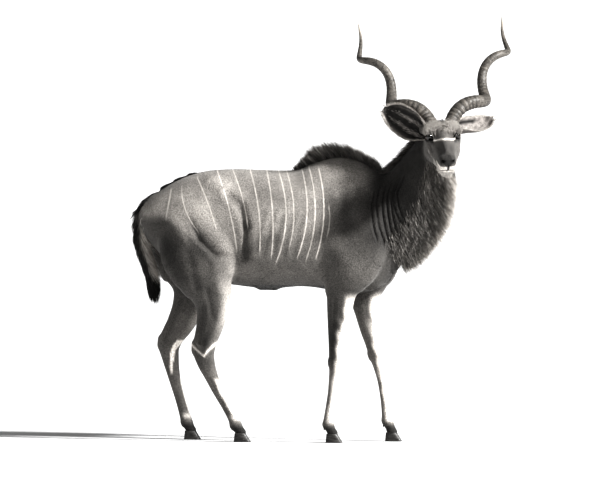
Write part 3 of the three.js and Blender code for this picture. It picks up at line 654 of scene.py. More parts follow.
# Markings, with painted light and shade, as tones from 0, black, to 1, white
STRIPES = [  # slanted x and height at the top, at the bottom, and how far it bows forward
    [-400, 1255, -425, 1115, 0],
    [-345, 1265, -260, 1050, -23],
    [-265, 1315, -170, 1065, 7],
    [-165, 1350, -65, 955, 14],
    [-90, 1365, -10, 1075, 13],
    [0, 1362, 50, 955, 20],
    [85, 1360, 110, 930, 18],
    [145, 1355, 130, 895, 46],
    [185, 1355, 200, 980, 30],
    [265, 1358, 240, 925, 37],
    [300, 1368, 285, 915, 38],
    [350, 1362, 335, 925, 32],
    [400, 1180, 390, 1030, 8],
]
STRIPE_TONE = 0.62
STRIPE_HALF = 3.6 * MM  # half a stripe's width
STRIPE_RAGGED = 1.6 * MM  # how far its edges wander
STRIPE_STRENGTH, LAST_STRIPE_STRENGTH = 0.85, 0.45
NECK_TONE = 0.032
FOLD_SHADE = 0.65  # how much darker the creases are painted, as painted shade in them
HOLLOW_SHADE = 0.032  # how much the painted shade in the grooves and the painted highlight on the ridges change the tone with each millimetre of a ridge's height
TRUNK_FOOT = 760  # the height at which the legs' coat starts to turn into the trunk's
PART_BLEND = 9.0  # how widely the parts' markings run into each other
STRIPE_SLANT = math.tan(math.radians(10))  # how much further back a stripe runs on the bulge of the side


def stripe_lines(height):
    """Where each stripe crosses a height, and how strong it is there."""
    places, strengths = [], []
    for x0, z0, x1, z1, bow in STRIPES:
        t = np.clip((z0 - height) / (z0 - z1), 0, 1)
        places.append(x0 + (x1 - x0) * t + bow * 4 * t * (1 - t))
        full = LAST_STRIPE_STRENGTH if x0 == STRIPES[-1][0] else STRIPE_STRENGTH
        strengths.append(full * ease(height, z1 - 22, z1 + 28) * (1 - ease(height, z0 - 4, z0 + 16)))
    return np.stack(places, 1), np.stack(strengths, 1)


def stripes(p):
    """Phase that is whole on each stripe, the gap between stripes, and strength."""
    slanted = p[:, 0] - np.abs(p[:, 1]) * STRIPE_SLANT
    places, strengths = stripe_lines(p[:, 2])
    count = places.shape[1]
    i = np.clip((places < slanted[:, None]).sum(1) - 1, 0, count - 2)
    rows = np.arange(len(p))
    low, high = places[rows, i], places[rows, i + 1]
    gap = np.maximum(high - low, 12)
    phase = i + np.clip((slanted - low) / gap, -0.49, 1.49)
    nearest = np.clip(np.round(phase), 0, count - 1).astype(int)
    return np.stack([phase, gap * MM, strengths[rows, nearest]], 1)


def over(tone, value, mask):
    """A tone with another laid over it, as far as the mask goes."""
    return tone + (value - tone) * np.clip(mask, 0, 1)


def painted(tone, *layers):
    """A tone with others laid over it in turn, each as a value and a mask."""
    for value, mask in layers:
        tone = over(tone, value, mask)
    return tone


def hollow_shade(p):
    """Painted shade in the hollows and painted highlight on the ridges, growing with their depth and
    height.
    """
    height = relief(mirrored(p), TORSO_RELIEF)
    for name, limb in LEGS.items():
        close = ((p > limb.low) & (p < limb.high)).all(1)
        height[close] += relief(p[close], LEG_STROKES[name])
    return np.clip(1 + HOLLOW_SHADE * height, 0.4, 1.35)


def neck_tone(p):
    """Dark at the sides with painted shade in the creases, greyer where the ruff hangs."""
    _, _, v, _, row = NECK.local(p)
    tone = over(NECK_TONE, 0.075, ease(-v / row[:, 13], 0.25, 0.75))
    # painted shade in the creases
    return tone * (1 - 0.7 * folds(p))


def body_tone(p, d):
    """Trunk: lighter towards the top and darker low down, as painted light from above and painted shade
    below, painted shade on the shoulder and the back of the thigh, and dark down the middle of the back.
    """
    x, y, z = p[:, 0], np.abs(p[:, 1]), p[:, 2]
    behind = -x - 226 - np.where(z > 1010, 1.55, 1.0) * (z - 1010)
    tone = painted(
        # lighter towards the top: painted light from above
        0.15 + 0.14 * ease(z, 890, 1220),
        (0.09, ease(-z, -860, -780)),  # low on the side: painted shade under the trunk
        (0.02, ease(-z, -791, -776)),  # belly: painted shade under the trunk
        (0.065, ease(x, 340, 520) * (1 - 0.7 * ease(z, 1180, 1290))),  # shoulder: painted shadow of the head and neck
        (0.035, ease(x, 560, 690) * ease(z, 880, 1020)),  # front of the shoulder: painted shadow of the head and neck
        (0.07, ease(behind, -35, 45) * (1 - ease(z, 1090, 1160)) * ease(-x, 60, 120)),  # back of the thigh: painted shade
        (0.04, near(y, 0, 13) * ease(z, 1240, 1290) * ease(-x, -330, 250)),  # line of the back
        (0.02, near(y, 0, 15) * ease(z, 1130, 1160) * ease(-x, 250, 300)),  # and of the rump
        (NECK_TONE, ease(d["torso"] - d["neck"], -70, 40)),
    )
    # painted shade in the creases
    return tone * (1 - FOLD_SHADE * folds(p))


def fore_tone(p, out, ahead, patchy, tone):
    """A foreleg: painted shade on the upper arm, painted highlights down the front, and a dark patch
    outside the knee.
    """
    z = p[:, 2]
    front = ease(ahead + 0.1 - 0.4 * patchy + 0.3 * ease(-z, -430, -340), -0.3, 0.3)
    dark = near(z, 520, 120) * ease(-ahead + 0.5 * patchy, 0.0, 0.7)
    tone = painted(
        tone,
        (0.17, ease(-z, -420, -340)),  # below the knee
        (0.085, ease(z, 780, 930)),  # upper arm: painted shadow of the head and neck
        (0.04, ease(p[:, 0], 540, 680) * ease(z, 900, 1020)),  # front of the shoulder: painted shadow of the head and neck
    )
    return painted(
        # painted shade in the creases
        tone * (1 - FOLD_SHADE * folds(p)),
        # painted highlight down the front of the leg
        (0.85, front * ease(-z, -640, -480)),
        # painted highlight down the front of the lower leg
        (0.85, ease(ahead + 0.2 * patchy, 0.4, 0.8) * ease(-z, -760, -680)),
        (0.1, ease(-z, -130, -95)),  # pastern
        (0.03, dark * ease(out, -0.7, 0.2) * 0.95),
    )


BAND_HEIGHT = 428  # of the white band near the hock


def hind_tone(p, out, ahead, patchy, tone):
    """A hind leg: a white band outside the hock and a white patch inside it, with painted highlights down
    the front of the shin and of the cannon.
    """
    z = p[:, 2]
    bend = BAND_HEIGHT + np.where(ahead < 0.1, -48 * (ahead - 0.1), 78 * (ahead - 0.1))
    band = near(z, bend, (7 + 4 * patchy) * (0.7 + 0.5 * ease(ahead, 0.1, 0.6)))
    cannon_highlight = ease(ahead + 0.2 * patchy, 0.2, 0.7) * ease(-z, -325, -295) * ease(z, 105, 140)
    run = np.clip((490 - z) / 170, 0, 1)
    patch = ease(near(ahead, 0.75 - 1.0 * run, 0.2 + 0.1 * patchy), 0.3, 0.6)
    patch = patch * ease(z, 320, 345) * ease(-z, -505, -490)
    return painted(
        tone,
        (0.11, ease(-z, -400, -340)),  # below the hock
        (0.02, near(ahead, 0.12, 0.22) * near(z, 500, 60) * ease(out, 0, 0.5)),  # hollow above it
        (0.8, band * ease(out, -0.3, 0.4) * (0.55 + 0.45 * ease(ahead + 0.6 * patchy, 0.1, 0.6))),
        # front of the cannon: painted highlight
        (0.75, cannon_highlight * ease(out, -0.6, 0.1)),
        (0.4, ease(ahead, 0.35, 0.9) * near(z, 690, 150)),  # front of the shin: painted highlight
        (0.9, patch * ease(-out, -0.2, 0.4)),
    )


def leg_tone(p, name):
    """A leg's own markings, painted shade and painted highlights over what all four share: pale inside, a
    white ring, and a dark foot.
    """
    _, u, v, _, row = LEGS[name].local(p)
    out = u / row[:, 12] * (-1 if name.endswith("right") else 1)
    ahead = v / row[:, 13]
    z = p[:, 2]
    patchy = 0.5 + 0.3 * np.sin(z / 31 + 1.9 * np.sin(z / 47) + 2.2 * out)
    patchy = patchy + 0.2 * np.sin(z / 13 + 3.1 * ahead)
    inside = ease(-out, -0.1, 0.7) * ease(-z, -760, -600)
    tone = over(0.075 + 0.10 * ease(z, 740, 950), 0.12, inside)
    own_tone, ring = (fore_tone, 112) if name.startswith("fore") else (hind_tone, 120)
    return painted(
        own_tone(p, out, ahead, patchy, tone),
        (0.6, near(z, ring, 15) * ease(ahead, -0.6, 0.2)),
        (0.02, ease(-z, -96, -66)),
    )


FACE_LINE = 136  # place of the white line on the bridge of the nose
FACE_LINE_LEAN = 0.76
CHEEK_SPOTS = ([112, 70, -78], [132, 66, -92], [100, 76, -96])
NOSE_HEIGHTS = [-84, -80, -58, -44, -28, -12, 4]
NOSE_HALVES = [-9, 3.5, 7, 20, 30, 17, 6]  # of the bare skin's width at those heights
MOUTH_HEIGHT = -80.5


def face_tone(h):
    """Face: a white line under the eyes, white spots and lips, and a dark bare nose."""
    x, y, z = h[:, 0], np.abs(h[:, 1]), h[:, 2]
    q = mirrored(h)
    wave = x - (FACE_LINE - FACE_LINE_LEAN * y)
    thick = 5.5 + 3.0 * near(y, 8, 16)
    bare = np.interp(z, NOSE_HEIGHTS, NOSE_HALVES) - y
    nostril = np.linalg.norm((q - NOSTRIL) @ NOSTRIL_TURN.T / (NOSTRIL_SIZE + 3), axis=1)
    tear = np.stack([x - 92 - 0.7 * (70 - y), z + 36], 1)
    spots = [near(np.linalg.norm(np.stack([x, y, z], 1) - spot, axis=1), 0, 7) for spot in CHEEK_SPOTS]
    return painted(
        0.11 + 0.02 * ease(y, 40, 80),
        (0.06, ease(x, 120, 190) * ease(z, -50, -20)),  # bridge of the nose
        (0.15, ease(-z, 100, 140) * ease(-x, -190, -120)),  # under the jaw
        (0.17, ease(-x, -70, 10) * ease(-y, -66, -40)),  # crown
        (0.9, near(wave / thick, 0, 1) * ease(z, -50, -34) * ease(-y, -84, -70)),
        *[(0.6, spot) for spot in spots],
        (0.06, ease(-y, -60, -20) * near(x, 225, 30) * ease(z, -60, -30)),  # above the nose
        (0.85, ease(-z, 52, 62) * ease(x, 214, 242)),  # lips
        (0.4, ease(-z, 82, 90) * ease(x, 150, 180)),  # along the lower jaw
        (0.035, ease(x, 256, 266) * ease(bare, -2, 2)),
        (0.004, near(nostril, 0, 1.3)),
        (0.006, near(y, 0, 2.5) * ease(x, 258, 268) * ease(-z, 34, 44) * ease(z, -82, -78)),
        (0.012, near(np.clip(almond(q), -3, 99), 0, 4.5) * (y > 50)),  # rims of the lids
        (0.03, near(np.linalg.norm(tear, axis=1), 0, 11) * (y > 50)),  # inner corner of the eye
        (0.012, near(z - MOUTH_HEIGHT, 0, 2.4) * ease(x, 203, 215)),
    )


def markings(p):
    """Tone of the coat at points on the skin, with painted light and shade in it, how far they are striped,
    and the share of each part.
    """
    d = parts(p)
    names = list(d)
    table = np.stack([d[n] for n in names], 1)
    weight = np.exp(-(table - table.min(1, keepdims=True)) / PART_BLEND)
    weight /= weight.sum(1, keepdims=True)
    tones = {"torso": body_tone(p, d), "neck": neck_tone(p), "tail": np.full(len(p), 0.035)}
    tones["head"] = face_tone(to_head(p))
    for name in LEGS:
        tones[name] = leg_tone(p, name)
    tone = sum(weight[:, i] * tones[n] for i, n in enumerate(names))
    upper = ease(p[:, 2], 900, 1000)
    thigh = sum(weight[:, names.index(n)] for n in LEGS if n.startswith("hind"))
    trunk = weight[:, names.index("torso")] + thigh * upper
    tone = over(tone, body_tone(p, d), thigh * ease(p[:, 2], TRUNK_FOOT, 960))
    # painted shade in the hollows and painted highlight on the ridges
    tone = tone * hollow_shade(p)
    return tone, ease(trunk, 0.3, 0.7), {n: weight[:, i] for i, n in enumerate(names)}


def lie_of(roots):
    """The way the hair lies at its roots."""
    p = roots["points"]
    flank = ease(np.abs(p[:, 1]), 60, 190)[:, None]
    way = roots["in_torso"][:, None] * (-FORWARD - UP * (0.15 + 0.55 * flank))
    for name in LEGS:
        way = way + roots[f"in_{name}"][:, None] * (-UP - 0.25 * FORWARD)
    along = NECK.section(NECK.place(p))[:, 9:12]
    way = way + roots["in_neck"][:, None] * (-along - 0.9 * UP)
    way = way + roots["in_tail"][:, None] * -UP
    cheek = ease(np.abs(to_head(p)[:, 1]), 30, 80)[:, None]
    way = way + roots["in_head"][:, None] * (-HEAD_AXES[0] - 0.5 * cheek * HEAD_AXES[2])
    return lie_on(way, unit(roots["normal"]))


# Materials
def linear(grey, warmth=0.5):
    """A grey with a little brown in it."""
    return (grey * (1 + 0.10 * warmth), grey, grey * (1 - 0.12 * warmth), 1.0)


class Nodes:
    """Short forms for building a material."""

    def __init__(self, name):
        self.material = bpy.data.materials.new(name)
        self.material.use_nodes = True
        self.tree = self.material.node_tree
        self.shader = self.tree.nodes["Principled BSDF"]

    def add(self, kind, **settings):
        node = self.tree.nodes.new(kind)
        for key, value in settings.items():
            setattr(node, key, value)
        return node

    def link(self, source, target):
        self.tree.links.new(source, target)

    def place(self):
        return self.add("ShaderNodeTexCoord").outputs["Object"]

    def put(self, value, socket):
        """Sets a socket to a number or a colour, or links it."""
        if isinstance(value, (int, float, tuple)):
            socket.default_value = value
        else:
            self.link(value, socket)

    def noise(self, scale, detail=4.0, vector=None):
        node = self.add("ShaderNodeTexNoise")
        for key, number in (("Scale", scale), ("Detail", detail), ("Roughness", 0.55)):
            node.inputs[key].default_value = number
        self.link(vector or self.place(), node.inputs["Vector"])
        return node.outputs["Fac"]

    def stretched(self, x, y, z):
        node = self.add("ShaderNodeMapping")
        node.inputs["Scale"].default_value = (x, y, z)
        self.link(self.place(), node.inputs["Vector"])
        return node.outputs["Vector"]

    def math(self, operation, a, b=0.0):
        node = self.add("ShaderNodeMath", operation=operation)
        self.put(a, node.inputs[0])
        self.put(b, node.inputs[1])
        return node.outputs[0]

    def times(self, a, b):
        return self.math("MULTIPLY", a, b)

    def over(self, tone, value, mask):
        return self.math("ADD", tone, self.times(mask, self.math("SUBTRACT", value, tone)))

    def remap(self, value, low, high, out_low=0.0, out_high=1.0):
        node = self.add("ShaderNodeMapRange", interpolation_type="SMOOTHSTEP")
        ends = {"From Min": low, "From Max": high, "To Min": out_low, "To Max": out_high}
        for key, number in ends.items():
            node.inputs[key].default_value = number
        self.link(value, node.inputs["Value"])
        return node.outputs["Result"]

    def mix(self, factor, a, b):
        node = self.add("ShaderNodeMix", data_type="RGBA")
        for index, value in ((0, factor), (6, a), (7, b)):
            self.put(value, node.inputs[index])
        return node.outputs[2]

    def tinted(self, tone, tints):
        """A colour from a tone, with a factor each for red, green and blue."""
        colour = self.add("ShaderNodeCombineColor")
        for socket, tint in zip(colour.inputs, tints):
            self.link(self.times(tone, tint), socket)
        return colour.outputs[0]

    def attribute(self, name, output="Fac"):
        return self.add("ShaderNodeAttribute", attribute_name=name).outputs[output]

    def bump(self, height, distance, strength):
        node = self.add("ShaderNodeBump")
        node.inputs["Strength"].default_value = strength
        node.inputs["Distance"].default_value = distance
        self.link(height, node.inputs["Height"])
        self.link(node.outputs["Normal"], self.shader.inputs["Normal"])

    def finish(self, colour, roughness, specular=0.3, sheen=0.0, coat=0.0):
        self.put(colour, self.shader.inputs["Base Color"])
        self.put(roughness, self.shader.inputs["Roughness"])
        self.shader.inputs["Sheen Weight"].default_value = sheen
        self.shader.inputs["Specular IOR Level"].default_value = specular
        self.shader.inputs["Coat Weight"].default_value = coat
        return self.material


def stripe_bars(n):
    """How white the stripes are: thin lines with ragged edges, worn in places."""
    split = n.add("ShaderNodeSeparateXYZ")
    n.link(n.attribute("stripe", "Vector"), split.inputs[0])
    phase, gap, strength = split.outputs
    away = n.math("ABSOLUTE", n.math("SUBTRACT", phase, n.math("ROUND", phase)))
    ragged = n.remap(n.noise(70.0), 0.2, 0.8, -STRIPE_RAGGED, STRIPE_RAGGED)
    away = n.math("ADD", n.times(away, gap), ragged)
    bar = n.remap(away, STRIPE_HALF * 1.25, STRIPE_HALF * 0.6)
    worn = n.remap(n.noise(16.0), 0.3, 0.6, 0.5, 1.0)
    return n.times(n.times(bar, worn), strength)


def coat_material(name, hair):
    """The coat's tones and stripes, for the skin or for the hair that grows from it."""
    n = Nodes(name)
    blotch = n.remap(n.noise(9.0), 0.35, 0.65, 0.86, 1.12)
    fleck = n.remap(n.noise(190.0, 3.0), 0.3, 0.7, 0.62, 1.36)
    tone = n.times(n.times(n.attribute("tone"), blotch), fleck)
    tone = n.over(tone, STRIPE_TONE, stripe_bars(n))
    if hair:
        tone = n.times(tone, n.remap(n.attribute("vary"), 0.0, 1.0, 0.7, 1.3))
        tip = n.times(n.attribute("pale"), n.remap(n.attribute("along"), 0.25, 1.0))
        tone = n.over(tone, 0.75, tip)
    else:
        n.bump(n.noise(330.0, 3.0, n.stretched(0.35, 1.0, 0.6)), 0.0035, 0.8)
    return n.finish(n.tinted(tone, (1.06, 1.0, 0.93)), 0.72, specular=0.28, sheen=0.15)


def horn_material():
    """Dark grooves between greyer rings, with fibres along the horn and a pale tip."""
    n = Nodes("horn")
    fibre = n.noise(150.0, 6.0, n.stretched(1.0, 0.3, 1.0))
    colour = n.mix(n.remap(fibre, 0.3, 0.7), linear(0.045), linear(0.15, 0.9))
    colour = n.mix(n.times(n.attribute("groove"), 0.7), colour, linear(0.018))
    colour = n.mix(n.remap(n.attribute("along"), 0.86, 1.0), colour, linear(0.42, 1.1))
    colour = n.mix(n.remap(n.noise(22.0), 0.45, 0.75, 0.0, 0.35), colour, linear(0.28, 1.0))
    n.bump(fibre, 0.0022, 0.6)
    return n.finish(colour, n.remap(fibre, 0.2, 0.8, 0.38, 0.6), specular=0.4)


def hoof_material():
    """Nearly black, with faint rings."""
    n = Nodes("hoof")
    rings = n.noise(60.0, 3.0, n.stretched(0.4, 0.4, 3.0))
    colour = n.mix(n.remap(rings, 0.3, 0.7), linear(0.012), linear(0.05))
    n.bump(rings, 0.0012, 0.7)
    return n.finish(colour, n.remap(rings, 0.3, 0.7, 0.32, 0.5), specular=0.45)


def eye_material():
    """A wet dark brown eye with a black pupil."""
    n = Nodes("eye")
    rays = n.remap(n.noise(420.0, 3.0), 0.3, 0.7)
    iris = n.mix(rays, (0.022, 0.011, 0.006, 1), (0.045, 0.024, 0.012, 1))
    colour = n.mix(n.attribute("pupil"), iris, linear(0.002))
    return n.finish(colour, 0.06, specular=0.6, coat=1.0)


def ear_material():
    """The skin of the ears, streaked."""
    n = Nodes("ear_lining")
    streak = n.remap(n.noise(60.0, 5.0), 0.3, 0.7, 0.6, 1.4)
    colour = n.tinted(n.times(n.attribute("tone"), streak), (1.08, 1.0, 0.94))
    n.bump(n.noise(400.0), 0.001, 0.5)
    return n.finish(colour, 0.75, sheen=0.1)


def floor_material():
    """A nearly white ground."""
    n = Nodes("floor")
    soft = n.remap(n.noise(0.8, 2.0), 0.3, 0.7)
    return n.finish(n.mix(soft, (0.86, 0.86, 0.86, 1), (0.88, 0.88, 0.88, 1)), 0.9, specular=0.1)


# Building
def leg_nodes(leg):
    upper = ("upper_arm", "forearm") if leg.startswith("fore") else ("thigh", "gaskin")
    return [f"{leg}_{part}" for part in (*upper, "cannon", "pastern")]


LEG_FLESH = [node for leg in LEGS for node in leg_nodes(leg)]
FLESH = ["torso", "neck", "head", "tail"] + LEG_FLESH


def set_attribute(mesh, name, values):
    kind = "FLOAT" if values.ndim == 1 else "FLOAT_VECTOR"
    layer = mesh.attributes.new(name, kind, "POINT")
    layer.data.foreach_set("value" if values.ndim == 1 else "vector", values.astype(np.float32).ravel())


def triangles_of(mesh):
    mesh.calc_loop_triangles()
    tris = np.empty(len(mesh.loop_triangles) * 3, np.int32)
    mesh.loop_triangles.foreach_get("vertices", tris)
    return tris.reshape(-1, 3)


def normals_of(mesh):
    normal = np.empty(len(mesh.vertices) * 3, np.float32)
    mesh.vertices.foreach_get("normal", normal)
    return normal.reshape(-1, 3).astype(float)


def build_skin():
    """Makes the skin, and returns what the hair is grown from."""
    points, quads = skin_faces()
    mesh = mesh_of("skin", points, quads)
    reworked(mesh, cut_head)
    points = drawn_to_skin(points_of(mesh))
    set_points(mesh, points)
    tone, trunk, weight = markings(points)
    bars = stripes(points)
    bars[:, 2] *= trunk
    set_attribute(mesh, "tone", tone)
    set_attribute(mesh, "stripe", bars)
    piece(mesh, coat_material("skin", hair=False), FLESH)
    surface = {"points": points, "tris": triangles_of(mesh), "normal": normals_of(mesh), "tone": tone}
    return {**surface, "trunk": trunk, **{f"in_{name}": part for name, part in weight.items()}}


# Hair: tufts are thin blades, rooted in the skin and tapering to a point
CHART_EDGE = 0.01
PATCH = 0.0015  # half the size of a tuft on the chart
PART_LIMBS = {"torso": TORSO, "neck": NECK, "head": HEAD, "tail": TAIL, **LEGS}
ROOT_DEPTH = 1.5
LENGTH_SPREAD, WIDTH_SPREAD, LIFT_SPREAD = (0.75, 1.2), (0.8, 1.25), (0.6, 1.4)
SWING, TWIST = 0.16, 0.45  # how unevenly the tufts lie and face


def spread(surface, density, count):
    """Random places on a surface, closer together where the density is higher."""
    tris = surface["tris"]
    a, b, c = (surface["points"][tris[:, k]] for k in range(3))
    area = np.linalg.norm(np.cross(b - a, c - a), axis=1) * np.maximum(density[tris].mean(1), 0)
    chosen = CHANCE.choice(len(tris), count, p=area / area.sum())
    share = CHANCE.dirichlet((1, 1, 1), count)
    return {
        key: np.einsum("nk,nk...->n...", share, values[tris[chosen]])
        for key, values in surface.items()
        if key != "tris"
    }


def chart_of(roots):
    """The place of each root on an unwrap of the skin, with a strip for each limb."""
    main = np.stack([roots[f"in_{name}"] for name in PART_LIMBS], 1).argmax(1)
    chart = np.zeros((len(main), 2))
    inner = 1 - 2 * CHART_EDGE
    for i, (name, limb) in enumerate(PART_LIMBS.items()):
        own = np.flatnonzero(main == i)
        if not len(own):
            continue
        p = roots["points"][own]
        place, u, v, _, row = limb.local(to_head(p) if name == "head" else p)
        turn = np.arctan2(v / row[:, 13], u / row[:, 12]) / (2 * math.pi) + 0.5
        chart[own] = np.stack([(i + CHART_EDGE + inner * turn) / len(PART_LIMBS), place], 1)
    return CHART_EDGE + inner * chart


def rooted(skin, density, count):
    """Random roots on the skin, with their places on the chart."""
    roots = spread(skin, density, count)
    return {**roots, "chart": chart_of(roots)}


def blades(roots, lie, length, width, lift, fall, segments):
    """Rows of points for each tuft, in pairs up to its tip, and their places along and across it."""
    p, normal = roots["points"], unit(roots["normal"])
    count = len(p)
    length = (length * CHANCE.uniform(*LENGTH_SPREAD, count))[:, None]
    swing = CHANCE.normal(0, SWING, count)[:, None]
    side = unit(np.cross(normal, lie))
    lie = unit(lie * np.cos(swing) + side * np.sin(swing))
    lift = (lift * CHANCE.uniform(*LIFT_SPREAD, count))[:, None]
    start = lie * np.cos(lift) + normal * np.sin(lift)
    end = lie if fall is None else fall
    twist = CHANCE.normal(0, TWIST, count)[:, None]
    across = unit(np.cross(start, normal))
    across = unit(across * np.cos(twist) + np.cross(start, across) * np.sin(twist))
    base = p - normal * ROOT_DEPTH
    half = width / 2 * CHANCE.uniform(*WIDTH_SPREAD, count)
    rows, places = [], []
    for t in np.arange(segments) / segments:
        middle = base + (start * (t - t * t / 2) + end * (t * t / 2)) * length
        wide = half * (0.8 + 0.6 * t) * (1 - t**2.2)
        for edge in (-1, 1):
            rows.append(middle + across * (edge * wide)[:, None])
            places.append((t, edge))
    rows.append(base + (start * 0.5 + end * 0.5) * length)
    places.append((1.0, 0))
    return rows, places


def blade_faces(count, segments):
    """The triangles of each tuft: two between pairs of points, and one at its tip."""
    a = 2 * np.arange(segments - 1)
    pairs = [[a, a + 1, a + 3], [a, a + 3, a + 2]]
    last = 2 * segments - 2
    faces = np.vstack([np.array(pairs).transpose(2, 0, 1).reshape(-1, 3), [last, last + 1, last + 2]])
    return (np.arange(count)[:, None, None] * (last + 3) + faces[None]).reshape(-1, 3)


def lay_out(mesh, chart, places):
    """The unwrap of a piece of coat, with a small patch for each tuft."""
    along, sides = np.array(places).T
    patch = np.stack([sides * PATCH, (along * 2 - 1) * PATCH], 1)
    uv = (chart[:, None] + patch[None]).reshape(-1, 2)
    layer = mesh.uv_layers.new(name="OFBake")
    index = np.empty(len(mesh.loops), np.int32)
    mesh.loops.foreach_get("vertex_index", index)
    layer.data.foreach_set("uv", uv[index].astype(np.float32).ravel())


def grow(name, material, nodes, roots, lie, length, width, lift, fall=None, segments=2, pale=0.0):
    """One piece of coat. Tufts leave the skin at the angle lift, along lie, and bend towards fall."""
    rows, places = blades(roots, lie, length, width, lift, fall, segments)
    points = np.stack(rows, 1).reshape(-1, 3)
    count, per = len(roots["points"]), len(rows)
    mesh = mesh_of(name, points, blade_faces(count, segments))
    bars = stripes(points)
    bars[:, 2] *= np.repeat(roots["trunk"], per)
    set_attribute(mesh, "tone", np.repeat(roots["tone"], per))
    set_attribute(mesh, "stripe", bars)
    set_attribute(mesh, "vary", np.repeat(CHANCE.random(count), per))
    set_attribute(mesh, "pale", np.repeat(np.broadcast_to(pale, count), per))
    set_attribute(mesh, "along", np.tile([along for along, _ in places], count))
    lay_out(mesh, roots["chart"], places)
    piece(mesh, material, nodes)


def short_coat(skin, material):
    """The short hair of the trunk, legs, neck and head."""
    x, _, z = skin["points"].T
    leg = sum(skin[f"in_{name}"] for name in LEGS)
    high = ease(z, TRUNK_FOOT, 900)
    trunk = skin["in_torso"] + leg * high
    front = x > 120
    h = to_head(skin["points"])
    bare_eye = ease(almond(mirrored(h)), 1.5, 4)
    bare_nose = 1 - ease(h[:, 0], 258, 266) * ease(h[:, 2], -52, -46) * ease(-np.abs(h[:, 1]), -30, -20)
    bare_mouth = ease(np.abs(h[:, 2] - MOUTH_HEIGHT), 1.5, 4)
    bare = np.where(h[:, 0] > 190, bare_nose * bare_mouth, bare_eye)
    plans = (  # name, density, count, length, width, lift, segments, slot and nodes
        ("fur_rump", trunk * ~front, 62000, 17, 2.3, 0.16, 2, "coat", ["torso"]),
        ("fur_chest", trunk * front, 62000, 17, 2.3, 0.16, 2, "coat", ["torso"]),
        ("fur_legs", leg * (1 - high), 60000, 10, 1.7, 0.18, 2, "leg", LEG_FLESH),
        ("fur_neck", skin["in_neck"], 36000, 14, 2.4, 0.2, 3, "mane", ["neck"]),
        ("fur_head", skin["in_head"] * bare, 60000, 7, 1.15, 0.2, 2, "face", ["head"]),
    )
    for name, density, count, length, width, lift, segments, slot, nodes in plans:
        roots = rooted(skin, density, count)
        grow(name, material, nodes, roots, lie_of(roots), length, width, lift, segments=segments)


def neck_side(skin, up):
    """The skin's place along the neck, offset aside, height in half depths, half width there, and share."""
    place, u, v, _, row = NECK.local(skin["points"])
    own = skin["in_neck"] * (v > 0 if up else v < 0)
    return place, u, v / row[:, 13], row[:, 12], own


def crest_withers(skin, material):
    """Upright hair on the withers."""
    x, y, z = skin["points"].T
    density = near(y, 0, 9) * skin["in_torso"] * ease(x, 215, 260) * (z > 1300)
    roots = rooted(skin, density, 5200)
    full = ease(roots["points"][:, 0], 210, 400)
    roots["tone"] = np.full(len(full), 0.15)
    reach = (18 + 72 * full) * CHANCE.uniform(0.65, 1.1, len(full))
    pale = 0.5 * CHANCE.random(len(full))
    fall = unit(UP * 0.8 - FORWARD * 0.75)
    grow("crest_withers", material, ["torso"], roots, -FORWARD, reach, 3.4, 1.05,
         fall=fall, segments=4, pale=pale)


def crest_neck(skin, material):
    """Upright hair along the nape."""
    _, u, v, _, own = neck_side(skin, up=True)
    roots = rooted(skin, near(u, 0, 16) * own * (v > 0.5), 6500)
    where = NECK.place(roots["points"])
    along = NECK.section(where)[:, 9:12]
    roots["tone"] = np.full(len(where), 0.12)
    reach = (96 - 34 * where / NECK.count) * CHANCE.uniform(0.65, 1.1, len(where))
    pale = 0.35 * CHANCE.random(len(where))
    fall = unit(-along * 0.9 + unit(roots["normal"]) * 0.45)
    grow("crest_neck", material, ["neck"], roots, -along, reach, 3.6, 0.95,
         fall=fall, segments=4, pale=pale)


def crest_rump(skin, material):
    """Short dark tufts along the rump and the root of the tail."""
    x, y, z = skin["points"].T
    density = near(y, 0, 9) * (skin["in_torso"] + skin["in_tail"]) * ease(-x, 250, 300) * (z > 1130)
    roots = rooted(skin, density, 4200)
    x = roots["points"][:, 0]
    tall = ease(x, -460, -420)
    roots["tone"] = np.full(len(x), 0.02)
    reach = 20 + 18 * (0.5 + 0.5 * np.sin(x / 11.5)) * tall
    back = lie_on(-FORWARD - 0.4 * UP, unit(roots["normal"]))
    grow("crest_rump", material, ["torso"], roots, back, reach, 3.0, 0.25 + 0.2 * tall, segments=3)


def ruff(skin, material):
    """Long hair hanging from the throat and the front of the neck."""
    place, u, v, half, own = neck_side(skin, up=False)
    throat = own * ease(-v, 0.3, 0.8) * ease(place, 0.16, 0.26) * (0.2 + near(np.abs(u) / half, 0, 0.5))
    roots = rooted(skin, throat, 24000)
    where = NECK.place(roots["points"])
    row = NECK.section(where)
    u = dot(roots["points"] - row[:, :3], row[:, 3:6])
    aside = u / row[:, 12]
    middle = near(aside, 0, 0.42)
    t = where / NECK.count
    reach = (44 + 78 * middle) * (0.3 + 0.75 * np.sin(math.pi * (1 - t)))
    reach = reach * CHANCE.uniform(0.6, 1.1, len(t))
    normal = unit(roots["normal"])
    fall = unit(-UP * 0.75 + normal * (0.25 + 0.75 * middle[:, None]) + FORWARD * 0.45)
    strand = 0.5 + 0.5 * np.sin(u / 4.3 + 9 * t + CHANCE.normal(0, 0.8, len(u)))
    roots["tone"] = 0.10 + 0.08 * strand + 0.06 * CHANCE.random(len(u)) ** 3
    # pale tips towards the front of the ruff: partly its own whitish tips, partly painted light on its
    # sunlit margin
    pale = np.clip(1.2 * near(aside, 0, 0.3) ** 2, 0, 1) * CHANCE.uniform(0.3, 1.0, len(u))
    grow("ruff", material, ["neck"], roots, lie_on(-UP, normal), reach, 3.0, 0.75,
         fall=fall, segments=4, pale=pale)


